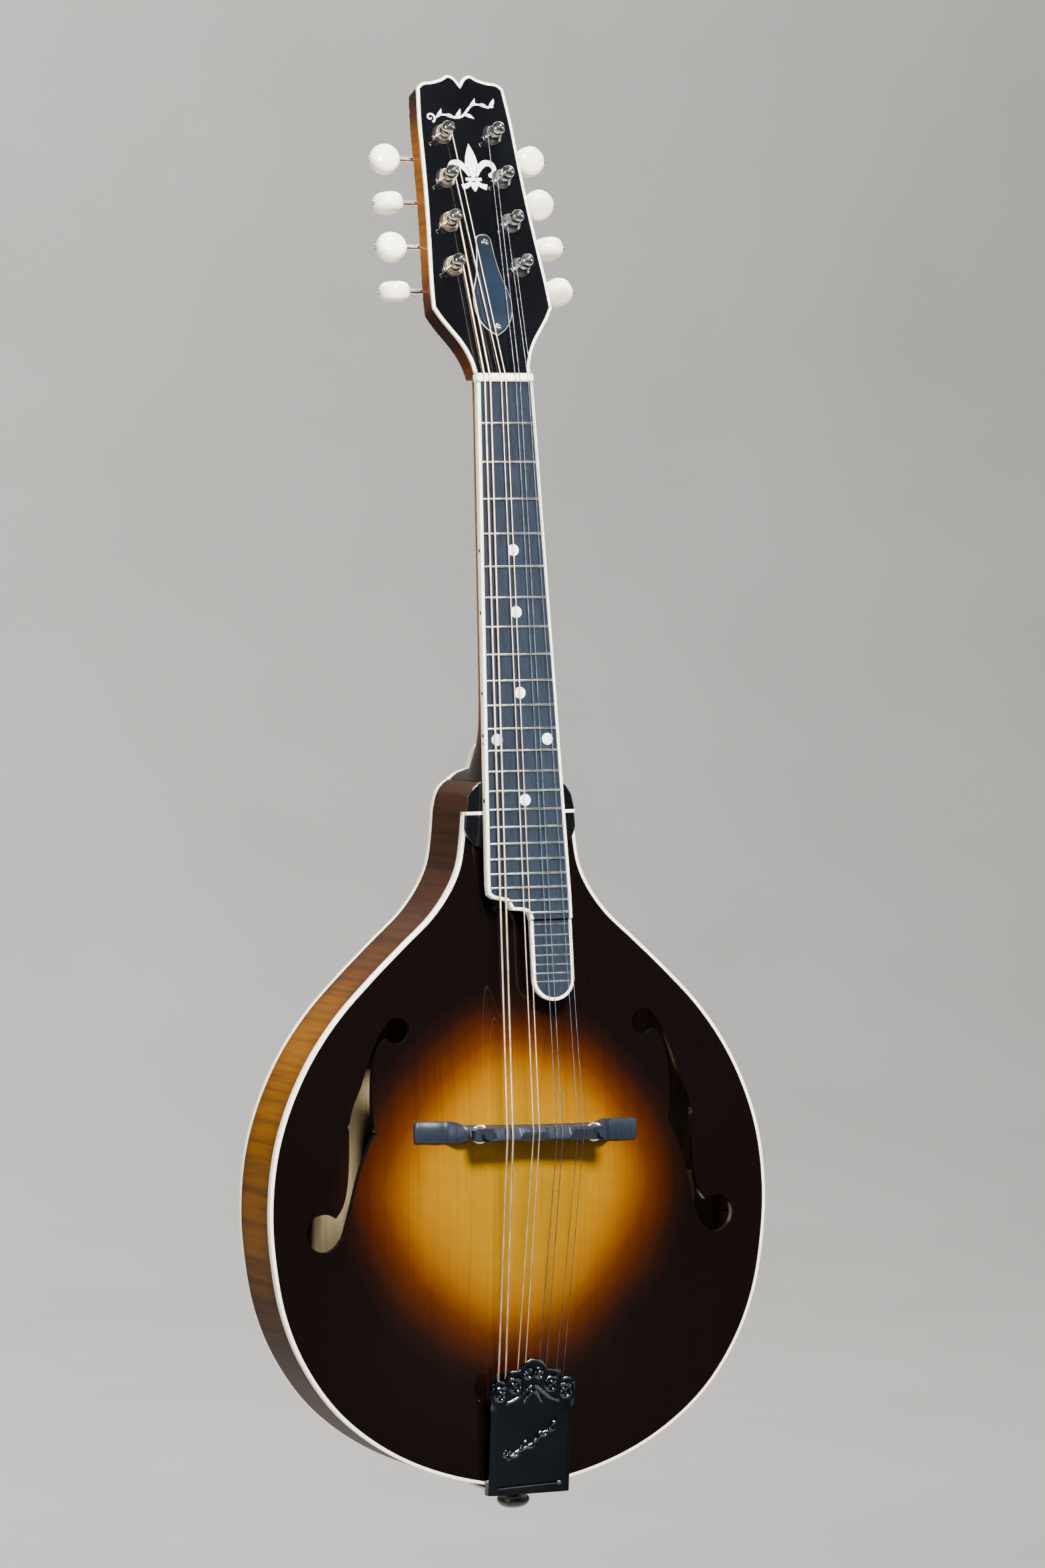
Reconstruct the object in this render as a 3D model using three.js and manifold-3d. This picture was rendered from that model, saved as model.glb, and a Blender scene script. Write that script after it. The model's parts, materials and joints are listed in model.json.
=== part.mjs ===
// Mandolin, A-style: carved plates, neck joined at the fifteenth fret, adjustable bridge.
// Millimetres, +Z up. The instrument hangs upright: its front faces -Y and its treble side is +X.
// Body frame while building: y = 0 on the front edge of the rim, z = 0 on the neck joint line.
import * as THREE from 'three';
import { mergeVertices } from 'three/addons/utils/BufferGeometryUtils.js';
import Module from 'manifold-3d';

const wasm = await Module();
wasm.setup();

// ---------------------------------------------------------------- driving dimensions
const gap = 0.2;                        // room left between glued or seated pieces
const degrees = Math.PI / 180;

// scale and neck
const scaleLength = 352.4;
const jointFret = 15;
const neckAngle = 5.68 * degrees;       // fingerboard plane against the rim plane
const boardAboveRim = 8.83;             // board plane in front of the rim at the joint fret
const jointFretZ = 0.9;
const nutHalfWidth = 14.3;
const boardTaper = 0.0295;              // half-width gained for each millimetre down the board
const boardThickness = 4.5;
const neckDepth = 14.5;

// body
const rimDepth = 42.8;
const ribThickness = 2.2;
const bindingWidth = 1.6;
const bindingDepth = 4;
const plateEdge = 3.4;
const plateCentre = 4.6;
const topArch = 11.7;
const backArch = 10;
const archCentreZ = -165;               // highest point of both carved plates
const archSpread = 0.85;

// headstock, in its own frame: y = 0 on the face, z up along the face from the nut
const headAngle = 14 * degrees;
const headStart = { y: 3.06, z: 5 };
const overlayThickness = 1.8;
const headThickness = 12.2;

// tuners
const firstPost = { x: 13, z: 123 };
const postStep = { x: 1.53, z: -22.9 };
const postRadius = 3;
const postHole = 3.4;
const capHeight = 8.5;
const wormBelowPost = 6.6;
const wormDepth = 16.2;
const buttonReach = 24.6;               // from the post's axis to the middle of the button
const buttonTurns = { bass: [0, 85, 10, 70], treble: [15, 40, 90, 60] };

// bridge
const bridgeZ = -152.5;
const bridgeSlant = 1.4 * Math.PI / 180;  // the treble end sits nearer the tailpiece
const bridgePostX = 29.5;
const baseTop = 16;
const wheelBottom = 17.8;
const wheelTop = 20.1;
const wheelRadius = 4.6;
const saddleBottom = 20.4;
const saddleTop = 28.1;

// tail
const tailZ = -323.6;
const endPinY = 14;

// strings, bass to treble: thick G pair, D pair, A pair, thin E pair
const stringRadius = [0.5, 0.5, 0.32, 0.32, 0.2, 0.2, 0.15, 0.15];
const nutX = [-11.2, -8.4, -2.7, -0.3, 4.9, 7.1, 11.3, 13];
const saddleX = [-19.2, -16.3, -5.7, -2.6, 6.5, 9.4, 17.4, 20.4];
const hookX = [-16.2, -12.4, -7.2, -3.2, 3.2, 7.3, 12.2, 16.2];
const postOfString = [3, 2, 1, 0, 0, 1, 2, 3];
const hookZ = -292;

// ---------------------------------------------------------------- finishes
const finish = {
  spruce: ['#b56a1c', 0.25, 0],
  maple: ['#8a4a18', 0.25, 0],
  inside: ['#b08a5a', 0.8, 0],
  blackLacquer: ['#0c0b0c', 0.15, 0],
  ebony: ['#1b1a1d', 0.45, 0],
  binding: ['#efe6cf', 0.35, 0],
  bone: ['#f2ecd8', 0.4, 0],
  button: ['#e9dfc2', 0.3, 0],
  nickel: ['#b9b9bb', 0.2, 1],
  steel: ['#8f9094', 0.35, 1],
  bronze: ['#b58a5c', 0.35, 1],
  paper: ['#d9cda6', 0.9, 0],
};

// ---------------------------------------------------------------- geometry helpers
function solid(geometry) {
  const bare = geometry.clone();
  bare.deleteAttribute('normal');
  bare.deleteAttribute('uv');
  const merged = mergeVertices(bare, 1e-4);
  const vertProperties = new Float32Array(merged.attributes.position.array);
  const triVerts = new Uint32Array(merged.index.array);
  return new wasm.Manifold(new wasm.Mesh({ numProp: 3, vertProperties, triVerts }));
}

function geometryOf(manifold) {
  const mesh = manifold.getMesh();
  const geometry = new THREE.BufferGeometry();
  geometry.setAttribute('position', new THREE.BufferAttribute(mesh.vertProperties, 3));
  geometry.setIndex(new THREE.BufferAttribute(mesh.triVerts, 1));
  return geometry;
}

function addMesh(group, name, shape, look) {
  const geometry = shape.isBufferGeometry ? shape : geometryOf(shape);
  const [color, roughness, metalness] = finish[look];
  geometry.computeVertexNormals();
  const material = new THREE.MeshStandardMaterial({ color, roughness, metalness });
  const mesh = new THREE.Mesh(geometry, material);
  mesh.name = name;
  group.add(mesh);
  return mesh;
}

const pairs = (list) => list.map(([x, z]) => new THREE.Vector2(x, z));

// A flat outline in x and z, made thick from yFront back to yBack.
function prism(outline, yFront, yBack) {
  const shape = new THREE.Shape(outline);
  const geometry = new THREE.ExtrudeGeometry(shape, { depth: yBack - yFront, bevelEnabled: false });
  return geometry.rotateX(Math.PI / 2).translate(0, yBack, 0);
}

// A side profile in y and z, made wide from xLow to xHigh.
function slab(profile, xLow, xHigh) {
  const geometry = new THREE.ExtrudeGeometry(new THREE.Shape(pairs(profile)), {
    depth: xHigh - xLow, bevelEnabled: false,
  });
  const axes = [new THREE.Vector3(0, 1, 0), new THREE.Vector3(0, 0, 1), new THREE.Vector3(1, 0, 0)];
  return geometry.applyMatrix4(new THREE.Matrix4().makeBasis(...axes)).translate(xLow, 0, 0);
}

const far = 400;                        // beyond every piece, for boxes that only cut
const everywhere = [-far, far];

function box(x, y, z) {
  const geometry = new THREE.BoxGeometry(x[1] - x[0], y[1] - y[0], z[1] - z[0]);
  return geometry.translate((x[0] + x[1]) / 2, (y[0] + y[1]) / 2, (z[0] + z[1]) / 2);
}

// Turned shapes: the profile lists [radius, distance along the axis], from axis to axis.
function turned(profile, sides, along) {
  const rising = profile[profile.length - 1][1] > profile[0][1];
  const geometry = new THREE.LatheGeometry(pairs(rising ? profile : [...profile].reverse()), sides);
  if (along === 'x') return geometry.rotateZ(-Math.PI / 2);
  if (along === 'z') return geometry.rotateX(Math.PI / 2);
  return geometry;
}

function rod(radius, from, to, sides, along) {
  return turned([[0, from], [radius, from], [radius, to], [0, to]], sides, along);
}

function signedVolume(geometry) {
  const p = geometry.attributes.position;
  const corner = [0, 1, 2].map(() => new THREE.Vector3());
  let volume = 0;
  for (let i = 0; i < geometry.index.count; i += 3) {
    corner.forEach((v, k) => v.fromBufferAttribute(p, geometry.index.getX(i + k)));
    volume += corner[0].dot(corner[1].cross(corner[2])) / 6;
  }
  return volume;
}

function closedGeometry(points, triangles) {
  const geometry = new THREE.BufferGeometry();
  const coordinates = points.flatMap((p) => [p.x, p.y, p.z]);
  geometry.setAttribute('position', new THREE.Float32BufferAttribute(coordinates, 3));
  geometry.setIndex(triangles.flat());
  if (signedVolume(geometry) < 0) {
    geometry.setIndex(triangles.flatMap(([a, b, c]) => [a, c, b]));
  }
  return geometry;
}

// Joins rings of equal length into one closed skin, with a flat cap on each end.
function loft(rings) {
  const count = rings[0].length;
  const points = rings.flat();
  const triangles = [];
  for (let r = 0; r < rings.length - 1; r += 1) {
    for (let i = 0; i < count; i += 1) {
      const a = r * count + i;
      const b = r * count + (i + 1) % count;
      triangles.push([a, b, a + count], [b, b + count, a + count]);
    }
  }
  for (const first of [0, (rings.length - 1) * count]) {
    for (let i = 1; i < count - 1; i += 1) {
      triangles.push(first ? [first, first + i, first + i + 1] : [0, i + 1, i]);
    }
  }
  return closedGeometry(points, triangles);
}

// A round wire through a few points, mitred where it bends.
function wire(points, radius, sides) {
  const rings = points.map((point, i) => {
    const before = points[Math.max(i - 1, 0)];
    const after = points[Math.min(i + 1, points.length - 1)];
    const ahead = after.clone().sub(point).normalize();
    const behind = point.clone().sub(before).normalize();
    const tangent = ahead.add(behind).normalize();
    const side = new THREE.Vector3(1, 0, 0).addScaledVector(tangent, -tangent.x).normalize();
    const up = tangent.clone().cross(side);
    return Array.from({ length: sides }, (_, k) => {
      const turn = 2 * Math.PI * k / sides;
      return point.clone().addScaledVector(side, radius * Math.cos(turn))
        .addScaledVector(up, radius * Math.sin(turn));
    });
  });
  return loft(rings);
}

// A smooth open curve through hand-set points, given as evenly spaced points.
function smooth(points, steps) {
  const knots = points.map(([x, z]) => new THREE.Vector3(x, 0, z));
  const curve = new THREE.CatmullRomCurve3(knots, false, 'centripetal');
  return curve.getSpacedPoints(steps).map((p) => new THREE.Vector2(p.x, p.z));
}

const mirror = (points) => points.map(([x, z]) => [-x, z]).reverse();

// Closes the right half of a symmetric outline with its mirror image.
function bothSides(half) {
  const offAxis = half.filter((p) => Math.abs(p.x) > 1e-6);
  return [...half, ...offAxis.reverse().map((p) => new THREE.Vector2(-p.x, p.y))];
}

// Moves every side of a closed outline inwards by the same distance.
function inset(outline, distance) {
  const turn = THREE.ShapeUtils.isClockWise(outline) ? -1 : 1;
  const count = outline.length;
  const normals = outline.map((point, i) => {
    const side = outline[(i + 1) % count].clone().sub(point).normalize();
    return new THREE.Vector2(-side.y * turn, side.x * turn);
  });
  return outline.map((point, i) => {
    const before = normals[(i + count - 1) % count];
    const bisector = before.clone().add(normals[i]).normalize();
    const reach = distance / Math.max(bisector.dot(before), 0.35);
    return point.clone().addScaledVector(bisector, reach);
  });
}

// ---------------------------------------------------------------- frames
const model = new THREE.Group();
const body = new THREE.Group();
const neckFrame = new THREE.Group();    // y = 0 on the board plane, z = 0 on the nut's front
const headFrame = new THREE.Group();
model.add(body);
body.add(neckFrame);
neckFrame.add(headFrame);

const fretDistance = (fret) => scaleLength * (1 - 2 ** (-fret / 12));
const boardToJoint = fretDistance(jointFret);
neckFrame.rotation.x = -neckAngle;
neckFrame.position.set(
  0,
  boardToJoint * Math.sin(neckAngle) - boardAboveRim,
  boardToJoint * Math.cos(neckAngle) + jointFretZ,
);
headFrame.rotation.x = -headAngle;
headFrame.position.set(0, headStart.y, headStart.z);

// The origin is the middle of the line where a wall yoke bears under the headstock's flare.
const yokeOnHead = new THREE.Vector3(0, headThickness / 2, 24);
for (const frame of [neckFrame, headFrame]) frame.updateMatrix();
const neckMatrix = neckFrame.matrix.clone();
const headMatrix = headFrame.matrix.clone();
const bodyInNeck = neckMatrix.clone().invert();
body.position.copy(yokeOnHead.applyMatrix4(headMatrix).applyMatrix4(neckMatrix)).negate();

const toBody = (geometry) => geometry.applyMatrix4(neckMatrix);
const pointInBody = (x, y, z) => new THREE.Vector3(x, y, z).applyMatrix4(neckMatrix);

// ---------------------------------------------------------------- body outlines
const lowerHalf = [
  [28.3, 0], [29.4, -13], [31.6, -26], [36.6, -37], [45.5, -49], [60, -62.3], [77, -78.2],
  [93.5, -95.3], [107.5, -114.6], [118.5, -136.6], [125.4, -159], [128.3, -184], [127.3, -208],
  [122.2, -236], [112, -260.5], [94.5, -284.4], [68, -304.6], [35, -318.2],
];
const shoulder = [[20.4, 14], [23.6, 11.6], [26.4, 7.4]];
const backShoulder = [[9.5, 19.4], [15.8, 17.3], ...shoulder];
const heelButton = [[0, 32.4], [4.3, 31.2], [7, 27.6], [8.4, 23.5]];
const outlineSteps = 44;

const frontOutline = smooth([...lowerHalf, [0, tailZ], ...mirror(lowerHalf)], outlineSteps);
const backOutline = [
  ...pairs(heelButton), ...pairs(backShoulder), ...frontOutline,
  ...pairs(mirror(backShoulder)), ...pairs(mirror(heelButton.slice(1))),
];
const ribOutline = [...pairs(shoulder), ...frontOutline, ...pairs(mirror(shoulder))];

// ---------------------------------------------------------------- carved plates
const archShape = (u) => (1 + Math.cos(Math.PI * u ** archSpread)) / 2;
const topFace = (u) => -topArch * archShape(u);
const backFace = (u) => rimDepth + backArch * archShape(u);
const plateThickness = (u) => plateEdge + (plateCentre - plateEdge) * (1 - u);
const ringScales = [1, 0.92, 0.8, 0.64, 0.44, 0.22];

// A domed solid: rings shrink from the outline to the arch's centre, and each of its two
// faces has its y given as a function of the ring's scale.
function domed(outline, frontY, backY) {
  const points = [];
  const triangles = [];
  const count = outline.length;
  const ringStart = (face, r) => (face * ringScales.length + r) * count;
  for (const faceY of [frontY, backY]) {
    for (const u of ringScales) {
      for (const p of outline) {
        points.push(new THREE.Vector3(p.x * u, faceY(u), archCentreZ + (p.y - archCentreZ) * u));
      }
    }
  }
  for (const face of [0, 1]) {
    points.push(new THREE.Vector3(0, [frontY, backY][face](0), archCentreZ));
    const middle = points.length - 1;
    const flip = ([a, b, c]) => (face ? [a, c, b] : [a, b, c]);
    for (let i = 0; i < count; i += 1) {
      const next = (i + 1) % count;
      for (let r = 0; r < ringScales.length - 1; r += 1) {
        const a = ringStart(face, r);
        const b = ringStart(face, r + 1);
        triangles.push(flip([a + i, a + next, b + i]), flip([a + next, b + next, b + i]));
      }
      const last = ringStart(face, ringScales.length - 1);
      triangles.push(flip([last + i, last + next, middle]));
      if (face === 0) {
        const inner = ringStart(1, 0);
        triangles.push([next, i, inner + i], [next, inner + i, inner + next]);
      }
    }
  }
  return solid(closedGeometry(points, triangles));
}

const plateInset = bindingWidth + gap;
const topOutline = inset(frontOutline, plateInset);
const topSolid = domed(topOutline, topFace, (u) => topFace(u) + plateThickness(u));
const topClearance = domed(topOutline, (u) => topFace(u) - gap, () => rimDepth);

// Sound holes: a small upper eye, a long body with a nick on each side, and a large lower eye.
const holeBody = [
  [68, -100.5], [76, -111.3], [82.4, -128.6], [87.9, -143.5], [88.7, -163], [90.2, -178.3],
  [94, -189.5], [98, -192], [97, -203], [93.4, -201.6], [87, -181.5], [81.4, -162.8], [75.5, -150.6],
  [76.3, -134], [75.8, -120], [69.6, -106], [66, -104],
];
const eyes = [{ x: 63.7, z: -102.8, r: 6.2 }, { x: 101.4, z: -197.2, r: 9 }];

function soundHole(side) {
  const outline = holeBody.map(([x, z]) => [x * side, z]);
  const depth = plateEdge + 1;
  let hole = solid(prism(pairs(outline), -topArch, depth));
  for (const eye of eyes) {
    const drill = rod(eye.r, -topArch, depth, 16, 'y').translate(eye.x * side, 0, eye.z);
    hole = hole.add(solid(drill));
  }
  return hole;
}

addMesh(body, 'top_plate', topSolid.subtract(soundHole(-1)).subtract(soundHole(1)), 'spruce');
const backSolid = domed(inset(backOutline, plateInset), (u) => backFace(u) - plateThickness(u), backFace);
addMesh(body, 'back_plate', backSolid, 'maple');

// ---------------------------------------------------------------- bindings of the body
function ring(outline, width, yFront, yBack) {
  const outer = solid(prism(outline, yFront, yBack));
  return outer.subtract(solid(prism(inset(outline, width), yFront - 1, yBack + 1)));
}

const platformFront = -2.6;             // front of the raised platform at the neck joint
const stripFront = platformFront - gap;
const stripHalfWidth = 28;
const crossStrip = box([-stripHalfWidth, stripHalfWidth], [stripFront, bindingDepth], [-bindingWidth, 0]);
const frontBinding = ring(frontOutline, bindingWidth, 0, bindingDepth).add(solid(crossStrip));
addMesh(body, 'binding_front', frontBinding, 'binding');
const backBinding = ring(backOutline, bindingWidth, rimDepth - bindingDepth, rimDepth);
addMesh(body, 'binding_back', backBinding, 'binding');

// ---------------------------------------------------------------- ribs, linings, blocks and bars
const ribFront = bindingDepth + gap;
const ribBack = rimDepth - bindingDepth - gap;
const ribWall = ring(ribOutline, ribThickness, ribFront, ribBack);
const shoulderWall = ring(ribOutline, ribThickness, 0, ribBack)
  .subtract(solid(box(everywhere, [-1, rimDepth], [-far, gap])));
const seamHalfWidth = 19.6;             // the ribs end on the neck's cheeks, this far from the middle
const neckSeam = box([-seamHalfWidth, seamHalfWidth], [-1, rimDepth], [0, 20]);
const pinShank = 2.8;
const pinHole = rod(pinShank + 0.3, tailZ - 5, tailZ + 20, 12, 'z').translate(0, endPinY, 0);
const wholeRib = ribWall.add(shoulderWall).subtract(solid(neckSeam)).subtract(solid(pinHole));
const halfSpace = (side, from) => {
  const ends = side > 0 ? [from, far] : [-far, -from];
  return solid(box(ends, everywhere, everywhere));
};
addMesh(body, 'rib_bass', wholeRib.intersect(halfSpace(-1, gap / 2)), 'maple');
addMesh(body, 'rib_treble', wholeRib.intersect(halfSpace(1, gap / 2)), 'maple');

const insideRib = inset(ribOutline, ribThickness + gap);
const headBlockEnd = -24;
const tailBlockStart = -311;
const liningHeight = 6.5;
const liningWidth = 4.5;
const liningRing = (yFront) => {
  const outer = solid(prism(insideRib, yFront, yFront + liningHeight));
  const inner = solid(prism(inset(insideRib, liningWidth), yFront - 1, yFront + liningHeight + 1));
  const between = solid(box(everywhere, everywhere, [tailBlockStart + gap, headBlockEnd - gap]));
  return outer.subtract(inner).intersect(between);
};
const sides = [['bass', -1], ['treble', 1]];
for (const [face, yFront] of [['top', ribFront + 0.1], ['back', ribBack - liningHeight - 0.1]]) {
  for (const [name, side] of sides) {
    const lining = liningRing(yFront).intersect(halfSpace(side, 0));
    addMesh(body, `lining_${face}_${name}`, lining, 'inside');
  }
}

const insideBlock = solid(prism(insideRib, ribFront, ribBack));
const tenonWide = 12;
const tenonNarrow = 8.5;
const tenonEnd = -6;
const tenonTop = 14.4;
const tenonBack = 32;
const tenonOutline = (grow) => pairs([
  [-tenonNarrow - grow, tenonTop], [tenonNarrow + grow, tenonTop],
  [tenonWide + grow, tenonEnd - grow], [-tenonWide - grow, tenonEnd - grow],
]);
const headSpace = solid(box([-40, 40], everywhere, [headBlockEnd, 13.6]));
const mortise = solid(prism(tenonOutline(gap), -5, tenonBack + 1));
addMesh(body, 'head_block', insideBlock.intersect(headSpace).subtract(mortise), 'inside');
const tailSpace = solid(box([-34, 34], everywhere, [-far, tailBlockStart]));
const tailBlock = insideBlock.intersect(tailSpace).subtract(solid(pinHole));
addMesh(body, 'tail_block', tailBlock, 'inside');

// Two braces under the top, splayed so that they pass inside the sound holes.
const barBack = 5;
const barSpace = domed(topOutline, (u) => topFace(u) + plateThickness(u) + gap, () => barBack);
for (const [name, side] of sides) {
  const outline = [[22, -60], [28, -60], [54, -255], [48, -255]].map(([x, z]) => [x * side, z]);
  const bar = solid(prism(pairs(outline), -topArch, barBack + 1));
  addMesh(body, `tone_bar_${name}`, bar.intersect(barSpace), 'inside');
}

// A paper label lies on the flat of a small pad inside the back, below the treble sound hole.
const labelY = rimDepth - plateEdge - 1;
addMesh(body, 'label', box([58, 108], [labelY, labelY + 0.4], [-214, -180]), 'paper');

// ---------------------------------------------------------------- neck
const neckFront = boardThickness + gap;
const boardHalfWidth = (z) => nutHalfWidth - boardTaper * z;

// Neck cross-section: flat in front, an ellipse behind.
function neckRing(z, halfWidth, front, depth) {
  const steps = 12;
  return Array.from({ length: steps + 1 }, (_, i) => {
    const turn = Math.PI * i / steps;
    return new THREE.Vector3(-halfWidth * Math.cos(turn), front + depth * Math.sin(turn), z);
  });
}

// Distance down the neck, and the depth of wood behind the board there.
const heelSections = [
  [-120, 16.4], [-150, 17.4], [-162, 19.4], [-168, 23.5], [-173, 29.5], [-178, 37], [-184, 46], [-192, 52],
];
const shaft = loft([
  neckRing(20, 11.5, neckFront + 6, 7.5),
  neckRing(11, 13, neckFront + 3, 11.3),
  neckRing(4, 14, neckFront, neckDepth),
  neckRing(-4, 14.2, neckFront, neckDepth),
  ...heelSections.map(([z, depth]) => neckRing(z, boardHalfWidth(z) - 0.4, neckFront, depth)),
]);
const behindHeel = solid(box(everywhere, [ribBack - gap, far], [-60, far]));
const heelFoot = 14;
const belowHeel = solid(box(everywhere, [-far, 60], [-60, heelFoot]));
const flareHalf = pairs([...backShoulder.slice(0, 2), [20.2, 14.2]]);
const heelFlare = solid(prism(bothSides(flareHalf), platformFront, ribBack - gap));
const capHalf = pairs([...shoulder, [stripHalfWidth, gap]]);
const shoulderCap = solid(prism(bothSides(capHalf), platformFront, -gap));
const tenon = solid(prism(tenonOutline(0), ribFront, tenonBack));

// Everything in front of the neck's bed belongs to the fingerboard.
const bedCut = solid(toBody(box(everywhere, [-far, neckFront], [-far, 4.9])));

// Headstock outline in three curves that meet at two corners on each side.
const flareCorner = [30.9, 33.2];
const topCorner = [22.6, 147.6];
const headFlare = smooth([
  [14.4, 0.1], [15.2, 5], [17.1, 10.6], [20, 16.2], [24, 22], [27.8, 27.6], flareCorner,
], 6);
const headSide = smooth([
  flareCorner, [30.2, 46], [28.4, 66], [26.6, 88], [25.3, 110], [24.3, 130], topCorner,
], 4);
const headTop = smooth([
  topCorner, [19.6, 150], [14, 151], [9.6, 152.4], [5.8, 154.4], [2.4, 153], [0, 149.8],
], 8);
const headLoop = bothSides([...headFlare, ...headSide.slice(1), ...headTop.slice(1)]);

const posts = [];
for (const [sideName, side] of sides) {
  for (let i = 0; i < 4; i += 1) {
    const x = side * (firstPost.x + postStep.x * i);
    const z = firstPost.z + postStep.z * i;
    posts.push({ name: `${sideName}_${i + 1}`, side, x, z, turn: buttonTurns[sideName][i] });
  }
}
const postBores = posts.map(({ x, z }) => {
  const bore = rod(postHole, -2, headThickness + 2, 8, 'y');
  return solid(bore.translate(x, 0, z));
});
const bored = (piece) => postBores.reduce((rest, bore) => rest.subtract(bore), piece);

const rodY = 13.7;
const rodRadius = 2.4;
const trussPocket = solid(box([-5, 5], [overlayThickness, 9.6], [17, 50]));
const headWood = solid(prism(headLoop, overlayThickness + gap, headThickness));
const headCore = bored(headWood).subtract(trussPocket);
const rodChannel = solid(box([-2.8, 2.8], [neckFront - 1, rodY + 2.8], [-196, 19]));
const nutRoom = solid(rod(4.4, 12, 36, 12, 'z').translate(0, rodY, 0));
const inNeck = (manifold) => solid(geometryOf(manifold).applyMatrix4(bodyInNeck));
const heel = heelFlare.add(shoulderCap).add(tenon).subtract(bedCut);
const shaftInBody = solid(toBody(shaft)).subtract(behindHeel).subtract(belowHeel);
const neckSolid = inNeck(shaftInBody.add(heel))
  .add(solid(geometryOf(headCore).applyMatrix4(headMatrix)))
  .subtract(rodChannel)
  .subtract(nutRoom);
addMesh(neckFrame, 'neck', neckSolid, 'maple');

// Platform under the fingerboard, from the joint to beyond the last full-width fret.
const riserTop = -bindingWidth - gap;
const riserFoot = -46;
const riserHalf = pairs([
  [stripHalfWidth, riserTop], [28.4, -8], [27.4, -11.6], [24.4, -15.4], [19.4, -17.6], [17, -20],
  [17, riserFoot],
]);
const platform = solid(prism(bothSides(riserHalf), platformFront, 2));
const boardBed = solid(toBody(box(everywhere, [-far, neckFront], [-far, 20])));
const support = solid(box([-17, 17], [-30, 2], [riserFoot, riserTop]));
const tongueSupport = solid(box([3.4, 18.4], [-30, -8.6], [-80, riserFoot + 1]));
const belowTop = solid(box(everywhere, [-0.1, far], everywhere));
const riserParts = platform.add(support).add(tongueSupport);
const riser = riserParts.subtract(boardBed).subtract(topClearance).subtract(belowTop);
addMesh(body, 'fingerboard_riser', riser, 'blackLacquer');

// ---------------------------------------------------------------- fingerboard and nut
const tongueLeft = 0.4;
const tongueRadius = 10.6;
const tongueX = tongueLeft + tongueRadius;
const tongueZ = -285;                   // centre of the tongue's round end
const tongueStep = { y: 1.5, z: -256.6 };
const tongueArcSteps = 8;
const tongueArc = Array.from({ length: tongueArcSteps + 1 }, (_, i) => {
  const turn = Math.PI * i / tongueArcSteps;
  return [tongueX + tongueRadius * Math.cos(turn), tongueZ - tongueRadius * Math.sin(turn)];
});
const trebleEnd = -246;
const bassEnd = -240;
const boardOutline = pairs([
  [nutHalfWidth, -0.1], [boardHalfWidth(trebleEnd), trebleEnd], [21.6, -257], ...tongueArc,
  [tongueLeft, -257.4], [-0.4, -254.4], [-4, -252.4], [-9.2, -252], [-11, -248.4], [-13.4, -247.3],
  [-18.6, -246.2], [-21, -244.4], [-boardHalfWidth(bassEnd), bassEnd], [-nutHalfWidth, -0.1],
]);
const boardBinding = 1.5;
const tongueDrop = solid(box(everywhere, [-1, tongueStep.y], [-far, tongueStep.z]));
const coreHalfWidth = nutHalfWidth - boardBinding;
const nutEnd = solid(box([-coreHalfWidth, coreHalfWidth], [-1, boardThickness + 1], [-3, 1]));
const boardRing = ring(boardOutline, boardBinding, 0, boardThickness).subtract(nutEnd).subtract(tongueDrop);
addMesh(neckFrame, 'fingerboard_binding', boardRing, 'binding');
const boardCore = solid(prism(inset(boardOutline, boardBinding + 0.1), 0, boardThickness));
addMesh(neckFrame, 'fingerboard', boardCore.subtract(tongueDrop), 'ebony');

const nutTop = -1.1;
const nutShelf = -0.2;
const nutProfile = [
  [boardThickness, 0.1], [boardThickness, 4.3], [nutShelf, 4.3], [nutTop, 2.2], [nutTop, 0.1],
];
addMesh(neckFrame, 'nut', slab(nutProfile, -nutHalfWidth - 0.4, nutHalfWidth + 0.4), 'bone');

// ---------------------------------------------------------------- headstock face and truss rod
const veneerInset = 1.6;
const footHalfWidth = 12.6;             // the veneer runs on to the nut between the bindings' ends
const veneerFoot = solid(box([-footHalfWidth, footHalfWidth], [0, overlayThickness], [0.1, 3]));
const veneerOpening = solid(box([-3.2, 3.2], [-1, 3], [26, 52]));
const veneer = solid(prism(inset(headLoop, veneerInset), 0, overlayThickness)).add(veneerFoot);
addMesh(headFrame, 'headstock_overlay', bored(veneer).subtract(veneerOpening), 'blackLacquer');
const footSpace = solid(box([-footHalfWidth - 0.1, footHalfWidth + 0.1], [-1, 3], [-1, 3.2]));
const veneerSpace = solid(prism(inset(headLoop, veneerInset - 0.1), -1, 3)).add(footSpace);
const headRing = solid(prism(headLoop, 0, overlayThickness)).subtract(veneerSpace);
addMesh(headFrame, 'headstock_binding', headRing, 'binding');

const trussCoverHalf = [
  [0, 18.4], [4.6, 21.6], [8.4, 27], [9.9, 34.5], [9, 41.4], [6.4, 50], [4.7, 60], [3.9, 70],
];
const trussCover = prism(bothSides(smooth(trussCoverHalf, 14)), -1.9, -gap);
addMesh(headFrame, 'truss_cover', trussCover, 'blackLacquer');

const rodEnd = 25;
const trussRod = rod(rodRadius, -195, rodEnd, 10, 'z').translate(0, rodY, 0);
addMesh(neckFrame, 'truss_rod', trussRod, 'steel');
const hexNut = solid(rod(3.8, 16.5, 23, 6, 'z')).subtract(solid(rod(rodRadius + 0.2, 15, 35, 10, 'z')));
addMesh(neckFrame, 'truss_nut', hexNut.translate([0, rodY, 0]), 'nickel');

// ---------------------------------------------------------------- tuners
const plateBack = headThickness + 1.3;
const plateFront = headThickness + 0.3;
const lugBack = 18.4;
const postBack = 17.8;
const gearTeeth = 14;
const gearOuter = 4.5;
const gearInner = 3.9;
const shaftRadius = 1.2;

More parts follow.
